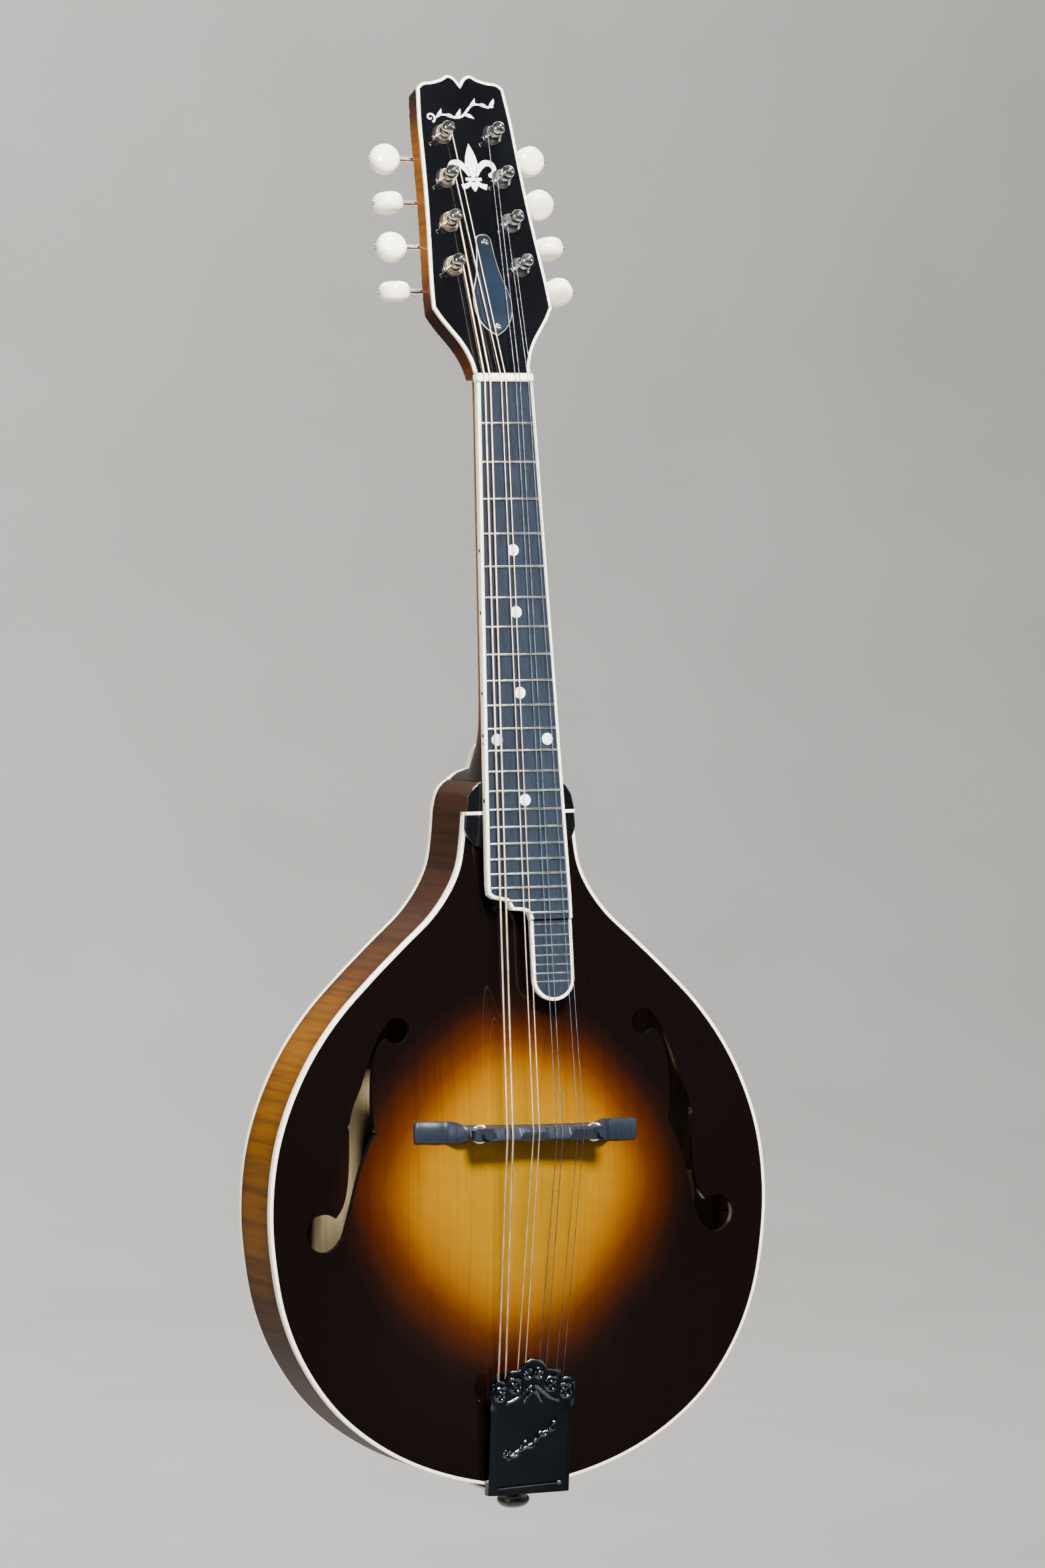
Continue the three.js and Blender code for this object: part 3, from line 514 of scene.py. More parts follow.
# ------------------------------------------------------------------ materials
def sunburst_spruce():
    f = Finish("sunburst_spruce")
    lines = f.noise(f.scaled(620, 25, 7), 1.0, 4.0, 0.55)
    silk = f.noise(f.scaled(90, 25, 260), 1.0, 2.0)
    cloud = f.noise(f.scaled(22, 22, 14), 1.0, 2.0)
    burst = f.maths("ADD", f.value("burst"), f.vary(cloud, -0.025, 0.025))
    stain = f.ramp(
        burst, (0.0, "7e5a00"), (0.38, "7c5600"), (0.49, "754c00"), (0.57, "684000"), (0.64, "532c00"),
        (0.71, "3d1900"), (0.79, "2a0e02"), (0.88, "130603"), (0.97, "080403"),
    )
    grain = f.ramp(lines, (0.34, 0.84), (0.5, 0.97), (0.66, 1.0))
    glow = f.blend(silk, 0.94, 1.0, 0.35, 0.65)
    wood = f.mix(1.0, f.mix(1.0, stain, grain, "MULTIPLY"), glow, "MULTIPLY")
    f.set(Base_Color=wood, Roughness=0.6, Specular_IOR_Level=0.0)
    f.bump(lines, 0.05, 0.0001)
    return f.lacquer(0.7)


def flamed_maple(name, along, light, mid, dark, strength, gloss=1.0):
    """Maple with dark and bright bars across its grain, stained from light to dark by an attribute."""
    f = Finish(name)
    place = f.add("ShaderNodeCombineXYZ", {
        "X": f.maths("MULTIPLY", f.value(along), 0.24), "Y": f.value("across"), "Z": 0.0,
    }).outputs["Vector"]
    bars = f.noise(f.stretched(place, 1.0, 0.009, 1.0), 1.0, 3.0, 0.6, 0.3)
    fibres = f.noise(f.stretched(place, 0.25, 2.6, 1.0), 1.0, 4.0, 0.6)
    stain = f.ramp(f.value("burst"), (0.0, light), (0.5, mid), (1.0, dark))
    flame = f.ramp(bars, (0.36, 1.0 - strength), (0.5, 1.0), (0.64, 1.0 + strength * 0.45))
    grain = f.blend(fibres, 0.86, 1.06)
    wood = f.mix(1.0, f.mix(1.0, stain, flame, "MULTIPLY"), grain, "MULTIPLY")
    f.set(Base_Color=wood, Roughness=f.vary(bars, 0.5, 0.7, 0.35, 0.65), Specular_IOR_Level=0.0)
    f.bump(fibres, 0.04, 0.0001)
    return f.lacquer(gloss)


def bare_wood(name, light, dark):
    f = Finish(name)
    lines = f.noise(f.scaled(500, 60, 8), 1.0, 4.0)
    f.set(Base_Color=f.blend(lines, dark, light), Roughness=f.vary(lines, 0.62, 0.8))
    return f.bump(lines, 0.15)


def black_lacquer(name="black_lacquer", low="050506", high="090a0d"):
    f = Finish(name)
    haze = f.noise(f.coords, 35.0, 4.0)
    specks = f.noise(f.coords, 900.0, 2.0)
    base = f.blend(haze, low, high, 0.3, 0.75)
    f.set(Base_Color=base, Roughness=f.vary(specks, 0.5, 0.7), Specular_IOR_Level=0.0)
    return f.lacquer(0.75, 0.03)


def ebony(name, light, dark, roughness, shine=0.3):
    f = Finish(name)
    pores = f.noise(f.scaled(900, 900, 45), 1.0, 3.0, 0.6)
    cloud = f.noise(f.scaled(60, 60, 8), 1.0, 3.0)
    tone = f.mix(0.35, f.blend(pores, dark, light, 0.36, 0.6), f.blend(cloud, dark, light))
    f.set(Base_Color=tone, Roughness=f.vary(pores, roughness + 0.12, roughness - 0.05))
    f.set(Specular_IOR_Level=shine)
    return f.bump(pores, 0.25, 0.00008)


def ivoroid(name="ivoroid", light="f3ecda", dark="e2d6b8", roughness=0.28, subsurface=0.15):
    f = Finish(name)
    cloud = f.noise(f.coords, 120.0, 3.0)
    fine = f.noise(f.scaled(300, 1500, 80), 1.0, 2.0)
    tint = f.mix(0.3, f.blend(cloud, dark, light), f.blend(fine, dark, light, 0.35, 0.65))
    f.set(Base_Color=tint, Roughness=f.vary(cloud, roughness - 0.06, roughness + 0.06))
    f.set(Subsurface_Weight=subsurface, Subsurface_Radius=(0.0012, 0.0009, 0.0006), Subsurface_Scale=1.0)
    return f.bump(fine, 0.03, 0.00005)


def plated(name, light="d9d6d0", dark="b3afa8", roughness=0.12, wear=0.08, smudge=60.0):
    """Nickel plate: bright, with fine scratches and finger marks."""
    f = Finish(name)
    marks = f.noise(f.coords, smudge, 4.0, 0.6)
    hair = f.noise(f.scaled(1800, 220, 260, turn=(0.3, 0.5, 0.2)), 1.0, 2.0)
    f.set(Base_Color=f.blend(marks, dark, light, 0.35, 0.6), Metallic=1.0)
    f.set(Roughness=f.vary(marks, roughness, roughness + wear, 0.35, 0.7))
    return f.bump(hair, 0.03, 0.00003)


def wire_metal(name, light, dark, winding, roughness=0.28):
    """A string's metal, with its winding as fine rings along its length."""
    f = Finish(name)
    rings = f.add("ShaderNodeTexWave", {
        "Vector": f.scaled(0, 0, 1), "Scale": winding, "Distortion": 0.0,
    }, bands_direction="Z").outputs["Fac"]
    patches = f.noise(f.coords, 150.0, 3.0)
    tint = f.blend(patches, dark, light)
    f.set(Base_Color=tint, Metallic=1.0, Roughness=f.vary(patches, roughness, roughness + 0.12))
    return f.bump(rings, 0.35, 0.00005)


def pearl():
    f = Finish("pearl")
    layers = f.noise(f.scaled(160, 160, 260), 1.0, 3.0, 0.6, 1.4)
    sheen = f.ramp(
        layers, (0.25, "dfe9ea"), (0.42, "f6f4f0"), (0.52, "e9dfe6"), (0.62, "e3f0e6"), (0.78, "fbfaf6"),
    )
    f.set(Base_Color=sheen, Roughness=f.vary(layers, 0.12, 0.3), Coat_Weight=1.0, Coat_Roughness=0.04)
    return f.material


def paper():
    f = Finish("label_paper")
    fibre = f.noise(f.coords, 700.0, 4.0)
    age = f.noise(f.coords, 60.0, 3.0)
    tint = f.mix(0.5, f.blend(fibre, "cbb98c", "e2d5ad"), f.blend(age, "c9b17c", "e4d8b4"))
    f.set(Base_Color=tint, Roughness=f.vary(fibre, 0.8, 0.95))
    return f.bump(fibre, 0.2)


SPRUCE = sunburst_spruce()
BACK_MAPLE = flamed_maple("back_maple", "flame_z", "995a00", "5e2602", "0e0503", 0.34)
RIB_MAPLE = flamed_maple("rib_maple", "along", "623a00", "3c1f04", "2a1508", 0.38, 0.18)
NECK_MAPLE = flamed_maple("neck_maple", "flame_z", "7e4a08", "4c2406", "1c0c05", 0.3, 0.22)
INSIDE_WOOD = bare_wood("inside_wood", "8c7a58", "70603f")
CUT_WOOD = black_lacquer("hole_edge_lacquer", "0c0b0b", "191513")
BLACK = black_lacquer()
# Black celluloid, fingerboard ebony and bridge ebony have a blue-grey tint in their base colours. The dark
# tone is their own colour; the blue-grey is a painted cool sheen of reflected light.
CELLULOID = black_lacquer("black_celluloid", "11171f", "1b2430")
EBONY = ebony("ebony", "1a222d", "0e141b", 0.5, 0.12)
BRIDGE_EBONY = ebony("bridge_ebony", "1b212b", "0d1118", 0.36, 0.2)
PIN_EBONY = ebony("pin_ebony", "15151a", "08080a", 0.3)
IVOROID = ivoroid()
BONE = ivoroid("bone", "faf6e9", "ece4cd", 0.32)
BUTTON_CREAM = ivoroid("button_cream", "fbf7e6", "efe6c6", 0.2, 0.3)
NICKEL = plated("nickel_plate")
# Polished nickel with its base colour set near black: a painted dark reflection, since the real plate is
# bright nickel.
NICKEL_PAINTED_DARK = plated("polished_nickel", "3d4149", "32363d", 0.05, 0.05, 25.0)
FRET_METAL = plated("fret_metal", "dcdad4", "b9b6ae", 0.2, 0.12, 200.0)
STEEL = plated("rod_steel", "8f9094", "5d5e62", 0.35, 0.1)
WOUND = wire_metal("wound_bronze", "f4dcc2", "d9b593", 900.0)
PLAIN = wire_metal("plain_steel", "92959b", "74777d", 0.5, 0.2)
PEARL = pearl()
PAPER = paper()

# The material slot that each material fills; a slot's last material also dresses the CAD's own nodes.
SLOTS = {
    SPRUCE: "spruce_top", BACK_MAPLE: "maple_back", RIB_MAPLE: "maple_sides", NECK_MAPLE: "maple_neck",
    INSIDE_WOOD: "inner_wood", CELLULOID: "black_lacquer", BLACK: "black_lacquer", BRIDGE_EBONY: "ebony",
    EBONY: "ebony", PIN_EBONY: "end_pin_black", PEARL: "binding", IVOROID: "binding", BONE: "bone",
    BUTTON_CREAM: "button_cream", FRET_METAL: "nickel", NICKEL: "nickel", NICKEL_PAINTED_DARK: "polished_nickel",
    WOUND: "wound_string", PLAIN: "plain_string", STEEL: "steel_rod", PAPER: "label_paper",
}


# ------------------------------------------------------------------ body
LOWER_HALF = (
    (NECK_EDGE, 0), (29.4, -13), (31.6, -26), (36.6, -37), (45.5, -49), (60, -62.3), (77, -78.2),
    (93.5, -95.3), (107.5, -114.6), (118.5, -136.6), (125.4, -159), (128.3, -184), (127.3, -208),
    (122.2, -236), (112, -260.5), (94.5, -284.4), (68, -304.6), (35, -318.2),
)
SHOULDER = ((20.4, 14), (23.6, 11.6), (26.4, 7.4), (NECK_EDGE, 0))
lower_outline = smooth([*LOWER_HALF, (0, TAIL_Z), *mirrored(LOWER_HALF)], 320)
neck_edge = np.linspace((-NECK_EDGE, 0), (NECK_EDGE, 0), 24)[1:-1]
front_outline = np.vstack([lower_outline, neck_edge])
shoulder_line = smooth(SHOULDER, 10)[:-1]
rib_line = np.vstack([shoulder_line, lower_outline, mirrored(shoulder_line)])
button_line = smooth([(0, 32.4), (4.3, 31.2), (7, 27.6), (8.4, 23.5), (9.5, 19.4)], 12)[:-1]
back_shoulder = smooth([(9.5, 19.4), (15.8, 17.3), *SHOULDER], 16)[:-1]
back_half = np.vstack([button_line, back_shoulder])
back_outline = np.vstack([back_half, lower_outline, mirrored(back_half[1:])])


def arch(u):
    return (1 + np.cos(np.pi * np.power(np.clip(u, 0, 1), ARCH_SPREAD))) / 2


def top_face(u):
    return -TOP_ARCH * arch(u)


def back_face(u):
    return RIM_DEPTH + BACK_ARCH * arch(u)


def plate_thickness(u):
    return PLATE_EDGE + (PLATE_CENTRE - PLATE_EDGE) * (1 - u)


def dome_rings(outline, face, scales):
    centre = np.array([0, ARCH_CENTRE_Z])
    return [at_y(centre + (outline - centre) * u, float(face(u))) for u in scales]


def domed(outline, front, back):
    """A carved plate: rings shrink from the outline to the arch's centre on both faces."""
    scales = np.linspace(0.012, 1, 46)
    return loft(dome_rings(outline, front, scales) + dome_rings(outline, back, scales[::-1]))


def ring_scale(x, z, outline):
    """Where a point lies between the arch's centre (0) and the plate's outline (1)."""
    rim = outline - (0, ARCH_CENTRE_Z)
    angle = np.arctan2(rim[:, 0], rim[:, 1])
    order = np.argsort(angle)
    along = z - ARCH_CENTRE_Z
    rim_reach = np.linalg.norm(rim, axis=1)[order]
    return np.hypot(x, along) / np.interp(np.arctan2(x, along), angle[order], rim_reach, period=2 * np.pi)


def smoothstep(value, low, high):
    t = np.clip((np.asarray(value, float) - low) / (high - low), 0, 1)
    return t * t * (3 - 2 * t)


def add_inside(made, material, inward):
    """Gives the faces that look into the sound chamber their own material."""
    made.data.materials.append(material)
    slot = len(made.data.materials) - 1
    for face in made.data.polygons:
        if inward(face):
            face.material_index = slot


def sound_hole(side):
    """One f-hole: a slot that swells in the middle, with a nick on each edge and an eye at each end."""
    outer = np.vstack([
        smooth([(65, -99), (70.5, -101.5), (76, -111), (82.5, -129), (87, -139.5), (88.2, -145.4)], 18),
        [(89.5, -147.2)],
        smooth([(88.6, -149), (88.9, -162.6), (90.1, -177), (92.6, -186), (97, -192)], 16),
    ])
    inner = np.vstack([
        smooth([
            (98, -203), (93.4, -201.7), (90.4, -194), (87.1, -181.6), (84.3, -171), (81.5, -163),
            (77.9, -154.6), (76.6, -152.4),
        ], 18),
        [(75.0, -151)],
        smooth([(76.2, -149), (76.9, -140), (76.9, -131), (75.6, -119), (70.4, -107.4), (65, -104.5)], 14),
    ])
    slot = np.vstack([outer, inner]) * (side, 1)
    front, back = -TOP_ARCH - 4, 8
    upper_eye = rod((63.7 * side, -102.8), 6.2, 40, front, back)
    lower_eye = rod((101.4 * side, -197.2), 9, 40, front, back)
    return prism(slot, front, back), upper_eye, lower_eye


def top_plate():
    outline = inset(front_outline, BINDING_WIDTH)
    shape = domed(outline, top_face, lambda u: top_face(u) + plate_thickness(u))
    made = piece("top", shape, BODY, SPRUCE, sharp=50, replaces="top_plate")
    for side in (-1, 1):
        for hole in sound_hole(side):
            cut(made, hole, BODY, sharp=50)
    x, y, z = places_of(made, BODY).T
    u = ring_scale(x, z, outline)
    across, along = np.abs(x + 4.5) / 95, np.abs(z + 178) / np.where(z > -178, 98, 107)
    glow = (across ** 1.7 + along ** 1.7) ** (1 / 1.7)
    give(made, "burst", np.clip(np.maximum(glow, (u - 0.1) * 0.95), 0, 1))
    middle = np.array([np.mean([u[v] for v in face.vertices]) for face in made.data.polygons])
    depth = np.array([np.mean([y[v] for v in face.vertices]) for face in made.data.polygons])
    inward = depth > top_face(middle) + plate_thickness(middle) - 0.3
    add_inside(made, INSIDE_WOOD, lambda face: inward[face.index] and face.normal.y > 0.5)
    walls = (middle < 0.985) & (depth > top_face(middle) + 0.4)
    add_inside(made, CUT_WOOD, lambda face: walls[face.index] and abs(face.normal.y) < 0.4)


def back_plate():
    outline = inset(back_outline, BINDING_WIDTH)
    shape = domed(outline, lambda u: back_face(u) - plate_thickness(u), back_face)
    made = piece("back", shape, BODY, BACK_MAPLE, sharp=50, replaces="back_plate")
    x, y, z = places_of(made, BODY).T
    u = ring_scale(x, z, outline)
    glow = np.hypot(x / 100, (z + 172) / 118)
    give(made, "burst", np.clip(np.maximum(glow ** 1.6, u ** 3), 0, 1))
    give(made, "flame_z", z + 0.35 * np.abs(x))
    give(made, "across", np.abs(x) + 300 * (x > 0))
    add_inside(made, INSIDE_WOOD, lambda face: face.normal.y < -0.5)


def rib(side_name, side):
    """Half of the bent side, from the neck's seam to the joint at the tail."""
    half = rib_line[: len(rib_line) // 2 + 1]
    inner = inset(rib_line, RIB_THICKNESS)[: len(half)]
    rings = []
    for (x, z), (xi, zi) in zip(half, inner):
        depth = np.linspace(BINDING_DEPTH if z < 0 else 0.0, RIM_DEPTH - BINDING_DEPTH, 9)
        rings.append([(x * side, y, z) for y in depth] + [(xi * side, y, zi) for y in depth[::-1]])
    name = f"side_{side_name}"
    made = piece(name, loft(rings), BODY, RIB_MAPLE, sharp=40, replaces=f"rib_{side_name}")
    x, y, z = places_of(made, BODY).T
    length = np.concatenate([[0], np.cumsum(np.linalg.norm(np.diff(half, axis=0), axis=1))])
    at = np.argmin(np.hypot(np.abs(x)[:, None] - half[:, 0], z[:, None] - half[:, 1]), axis=1)
    give(made, "along", length[at] + 700 * (side > 0))
    give(made, "across", y)
    # The rib darkens towards the neck and the tail as sunburst stain. Towards the tail, the darkening is
    # also painted shade where the lower bout turns down, away from the light.
    ends = np.maximum(smoothstep(z, -112, -38), smoothstep(-z, 200, 270))
    edges = 0.45 * np.abs((y - RIM_DEPTH / 2) / (RIM_DEPTH / 2)) ** 3
    give(made, "burst", np.clip(ends + edges, 0, 1))
    centre_z = (BODY @ Vector((0, 0, ARCH_CENTRE_Z))).z

    def faces_inward(face):
        outward = face.center.x * face.normal.x + (face.center.z - centre_z) * face.normal.z
        return outward < 0 and abs(face.normal.y) < 0.5

    add_inside(made, INSIDE_WOOD, faces_inward)


def kerfed_lining(face, start, toward, side_name, side):
    """The strip glued between a plate and the ribs, sawn nearly through every few millimetres."""
    line = inset(rib_line, RIB_THICKNESS + 0.12)[: len(rib_line) // 2 + 1]
    line = line[(line[:, 1] < -24.6) & (line[:, 1] > -310.4)] * (side, 1)
    blocks, per_block = 50, 8
    line = respaced(line, blocks * per_block)
    step = np.gradient(line, axis=0)
    inward = np.stack([step[:, 1], -step[:, 0]], axis=1) / np.linalg.norm(step, axis=1)[:, None]
    inward *= np.sign(np.sum(inward * ((0, ARCH_CENTRE_Z) - line), axis=1))[:, None]
    web = ((0, 0), (1.0, 0), (1.0, 6.3), (0, 6.3))
    wedge = ((0, 0), (4.3, 0), (4.3, 1.6), (1.2, 6.3), (0, 6.3))

    def section(i, outline):
        at = [line[i] + inward[i] * depth for depth, _ in outline]
        return [(x, start + toward * height, z) for (x, z), (_, height) in zip(at, outline)]

    shapes = [loft([section(i, web) for i in range(0, len(line), 2)])]
    for first in range(0, blocks * per_block, per_block):
        shapes.append(loft([section(first, wedge), section(first + per_block - 1, wedge)]))
    name = f"lining_{face}_{side_name}"
    piece("kerfed_" + name, joined(*shapes), BODY, INSIDE_WOOD, sharp=30, replaces=name)


def edge_binding(name, outline, start):
    band = hoop(outline, inset(outline, BINDING_WIDTH), start, start + BINDING_DEPTH)
    piece(name + "_binding", band, BODY, IVOROID, sharp=50, replaces="binding_" + name)


def body_bindings():
    edge_binding("front", front_outline, 0)
    cross = slab(PLATFORM_HALF_WIDTH, -BINDING_WIDTH, 0, PLATFORM_FRONT - 0.2, 0.4)
    eased(piece("cross_binding", cross, BODY, IVOROID), 0.25)
    edge_binding("back", back_outline, RIM_DEPTH - BINDING_DEPTH)


def riser():
    """The black platform that carries the fingerboard over the top."""
    start = -BINDING_WIDTH
    foot = smooth([(28.4, -8), (27.4, -11.6), (24.4, -15.4), (19.4, -17.6), (17.6, -19)], 14)
    half = np.vstack([[(PLATFORM_HALF_WIDTH, start)], foot, [(17, -20), (17, -30)]])
    eased(piece("platform", prism(both_sides(half), PLATFORM_FRONT, 1), BODY, BLACK), 0.5, 3)
    at_neck, at_end = board_back(start), board_back(-46)
    support = loft([[(x, *at_neck), (x, *at_end), (x, 1, -46), (x, 1, start)] for x in (-17, 17)])
    at_neck, at_end = board_back(-45), board_back(-80)
    tongue = loft([[(x, *at_neck), (x, *at_end), (x, -6, -80), (x, -4, -45)] for x in (3.4, 18.4)])
    eased(piece("board_support", joined(support, tongue), BODY, BLACK, replaces="fingerboard_riser"), 0.3)


def board_back(z):
    """The body-frame y and z, at height z, of the plane that the fingerboard's back lies on."""
    origin = neck_in_body @ Vector((0, BOARD_BED, 0))
    ahead = neck_in_body.to_3x3() @ Vector((0, 0, 1))
    return origin.y + ahead.y * (z - origin.z) / ahead.z, z


# ------------------------------------------------------------------ neck and fingerboard
def board_half_width(z):
    return NUT_HALF_WIDTH - BOARD_TAPER * z


def carried(shape, matrix):
    return [tuple(matrix @ Vector(v)) for v in shape[0]], shape[1]


FLARE_CORNER = (30.9, 33.2)
TOP_CORNER = (22.6, 147.6)
head_flare = smooth(
    [(14.4, 0.1), (15.2, 5), (17.1, 10.6), (20, 16.2), (24, 22), (27.8, 27.6), FLARE_CORNER], 26
)
head_side = smooth(
    [FLARE_CORNER, (30.2, 46), (28.4, 66), (26.6, 88), (25.3, 110), (24.3, 130), TOP_CORNER], 30
)
head_top = smooth(
    [TOP_CORNER, (19.6, 150), (14, 151), (9.6, 152.4), (5.8, 154.4), (2.4, 153), (0, 149.8)], 30
)
head_outline = both_sides(np.vstack([head_flare, head_side[1:], head_top[1:]]))

posts = [
    {
        "name": f"{side_name}_{i + 1}", "side": side, "x": side * (FIRST_POST[0] + POST_STEP[0] * i),
        "z": FIRST_POST[1] + POST_STEP[1] * i, "turn": BUTTON_TURNS[side_name][i],
    }
    for side_name, side in SIDES for i in range(4)
]


def post_bores():
    return joined(*(rod((post["x"], post["z"]), 3.55, 28, -3, HEAD_THICKNESS + 4) for post in posts))


def neck():
    """Shaft, heel and headstock core, grown together and smoothed as one carved piece of maple."""
    # Each section has its place along the neck, half its width, its drop behind the board and its depth.
    sections = smooth([
        (24, 10.5, 8, 6), (14, 12.4, 3.8, 10.2), (5, 14.0, 0, 14.4), (-4, 14.1, 0, 14.5),
        (-60, 15.7, 0, 15.3), (-120, 17.4, 0, 16.4), (-150, 18.3, 0, 17.6), (-162, 18.7, 0, 19.6),
        (-169, 18.9, 0, 24.3), (-175, 19.1, 0, 32), (-181, 19.3, 0, 41), (-188, 19.5, 0, 49),
        (-196, 19.7, 0, 56),
    ], 90)
    turn = np.linspace(0, math.pi, 33)
    rings = [
        [(-half * math.cos(t), BOARD_BED + drop + depth * math.sin(t), z) for t in turn]
        for z, half, drop, depth in sections
    ]
    head = carried(prism(head_outline, OVERLAY_THICKNESS + 0.02, HEAD_THICKNESS), head_in_neck)
    flare = both_sides([(0, 20.2), (9.3, 19.4), (15.8, 17.3), (20.0, 14.2)])
    heel_back = RIM_DEPTH - BINDING_DEPTH - 0.05
    heel = carried(prism(flare, PLATFORM_FRONT + 0.3, heel_back), neck_in_body.inverted())
    made = piece("neck_wood", joined(loft(rings), head, heel), NECK, NECK_MAPLE, replaces="neck")
    grow = made.modifiers.new("grow", "REMESH")
    grow.mode = "VOXEL"
    grow.voxel_size = 0.00062
    soften = made.modifiers.new("soften", "SMOOTH")
    soften.factor = 0.5
    soften.iterations = 8
    applied(made, 60)
    heel_limit = (BODY @ Vector((0, 0, 60))).z
    sliced(made, (0, RIM_DEPTH - BINDING_DEPTH - 0.02, 0), (0, 1, 0), heel_limit)
    sliced(made, (0, 0, 13.9), (0, 0, -1), heel_limit)
    shade(made, 50)
    cut(made, carried(post_bores(), head_in_neck), NECK, sharp=50)
    nut_room = moved(turned([(0, 12), (4.4, 12), (4.4, 36), (0, 36)], 24, "z"), (0, 13.7, 0))
    cut(made, nut_room, NECK, sharp=50)
    x, y, z = places_of(made, NECK).T
    head_z = z - HEAD_START[2]
    give(made, "flame_z", z)
    give(made, "across", x + y)
    ends = np.maximum(smoothstep(-z, 140, 190), smoothstep(head_z, 114, 146))
    flare_dark = np.exp(-((head_z - 22) / 22) ** 2) * 0.85
    give(made, "burst", np.clip(np.maximum(ends, flare_dark) + 0.12, 0, 1))


def sliced(made, point, normal, below):
    """Cuts off what lies past a plane on the part of a piece below a height, and closes the cut."""
    edit = bmesh.new()
    edit.from_mesh(made.data)
    low = {v for v in edit.verts if v.co.z < below}
    geometry = [*low]
    geometry += [part for part in [*edit.edges, *edit.faces] if all(v in low for v in part.verts)]
    parts = bmesh.ops.bisect_plane(
        edit, geom=geometry, plane_co=BODY @ Vector(point), plane_no=Vector(normal), clear_outer=True,
        dist=1e-7,
    )
    rim = [part for part in parts["geom_cut"] if isinstance(part, bmesh.types.BMEdge)]
    bmesh.ops.holes_fill(edit, edges=rim, sides=0)
    edit.to_mesh(made.data)
    edit.free()


def cheeks():
    """Black lacquered front of the shoulders beside the fingerboard."""
    half = [*SHOULDER[:3], (28, 0.05)]
    eased(piece("neck_cheeks", prism(both_sides(half), PLATFORM_FRONT, -0.02), BODY, BLACK), 0.4, 3)


tongue_arc = arc(TONGUE_CENTRE, TONGUE_RADIUS, 0, -180, 24)
TREBLE_END, BASS_END, TONGUE_STEP = -246, -240, -256.6
board_outline = np.array([
    (NUT_HALF_WIDTH, 0), (board_half_width(TREBLE_END), TREBLE_END), (21.6, -257), *tongue_arc,
    (0.4, -257.4), *bowed((-0.4, -254.4), (-4, -252.4), -0.5, 4), (-9.2, -252),
    *bowed((-11, -248.4), (-13.4, -247.3), -0.4, 4), (-18.6, -246.2), (-21, -244.4),
    (-board_half_width(BASS_END), BASS_END), (-NUT_HALF_WIDTH, 0),
])
tongue_drop = slab(30, -300, TONGUE_STEP, -2, 1.5)


def fingerboard():
    middle = inset(board_outline, BOARD_EDGING)
    board = piece("board", prism(middle, 0, BOARD_THICKNESS), NECK, EBONY, replaces="fingerboard")
    cut(board, tongue_drop, NECK)
    band = hoop(board_outline, middle, 0, BOARD_THICKNESS, 0.2)
    edging = piece("board_binding", band, NECK, IVOROID, replaces="fingerboard_binding")
    cut(edging, tongue_drop, NECK)
    inside = NUT_HALF_WIDTH - BOARD_EDGING
    cut(edging, slab(inside, -3, 3, -3, 8), NECK)
    piece("board_end", slab(inside, -BOARD_EDGING - 0.1, 0, 0, BOARD_THICKNESS), NECK, EBONY)


def fret_span(number, z):
    """The bass and treble ends of a fret; the last ones are cut short by the board's stepped end."""
    if number > RAISED_FRETS:
        middle, round_start = TONGUE_CENTRE
        chord = math.sqrt(max((TONGUE_RADIUS - 1.4) ** 2 - max(round_start - z, 0) ** 2, 0))
        return middle - chord, middle + chord
    reach = board_half_width(z) - 1.3
    left = {21: -12.6, 22: -1.6}.get(number, -reach)
    return left, (reach if number < RAISED_FRETS else 20.4)


def fret_bar(left, right, z, front, half_width, height):
    """A fret crown: half round, with its ends dressed at a slant."""
    turn = np.linspace(0, math.pi, 11)
    rings = []
    for end, inward in ((left, 1), (right, -1)):
        slant = ((0, 0.3), (0.35, 0.85), (0.8, 1))
        for shift, share in slant[::inward]:
            x = end + shift * inward
            crown = [(x, front - height * share * math.sin(t), z + half_width * math.cos(t)) for t in turn]
            rings.append(crown + [(x, front + 0.1, z - half_width), (x, front + 0.1, z + half_width)])
    return loft(rings)


def frets():
    bars = []
    for number in range(1, ALL_FRETS + 1):
        z = -fret_distance(number)
        section = (0.02, 0.62, 0.85) if number <= RAISED_FRETS else (1.52, 0.3, 0.12)
        bars.append(fret_bar(*fret_span(number, z), z, *section))
    piece("frets", joined(*bars), NECK, FRET_METAL, sharp=50)


def dot(x, z, radius, front):
    back = front + 0.6
    profile = [(0, front), (radius - 0.15, front), (radius, front + 0.05), (radius, back), (0, back)]
    return moved(turned(profile, 28), (x, 0, z))


def position_marks():
    dots, side_dots = [], []
    for number in MARKED_FRETS:
        z = -(fret_distance(number - 1) + fret_distance(number)) / 2
        for x in ((-13, 13) if number == 12 else (0,)):
            dots.append(dot(x, z, 2.85, -0.04))
        side = -board_half_width(z)
        for shift in ((-2.2, 2.2) if number == 12 else (0,)):
            peg = turned([(0, 0), (0.95, 0), (0.95, 0.5), (0, 0.5)], 16, "x")
            side_dots.append(moved(peg, (side - 0.06, 2.1, z + shift)))
    piece("position_dots", joined(*dots), NECK, PEARL)
    piece("side_dots", joined(*side_dots), NECK, BLACK)


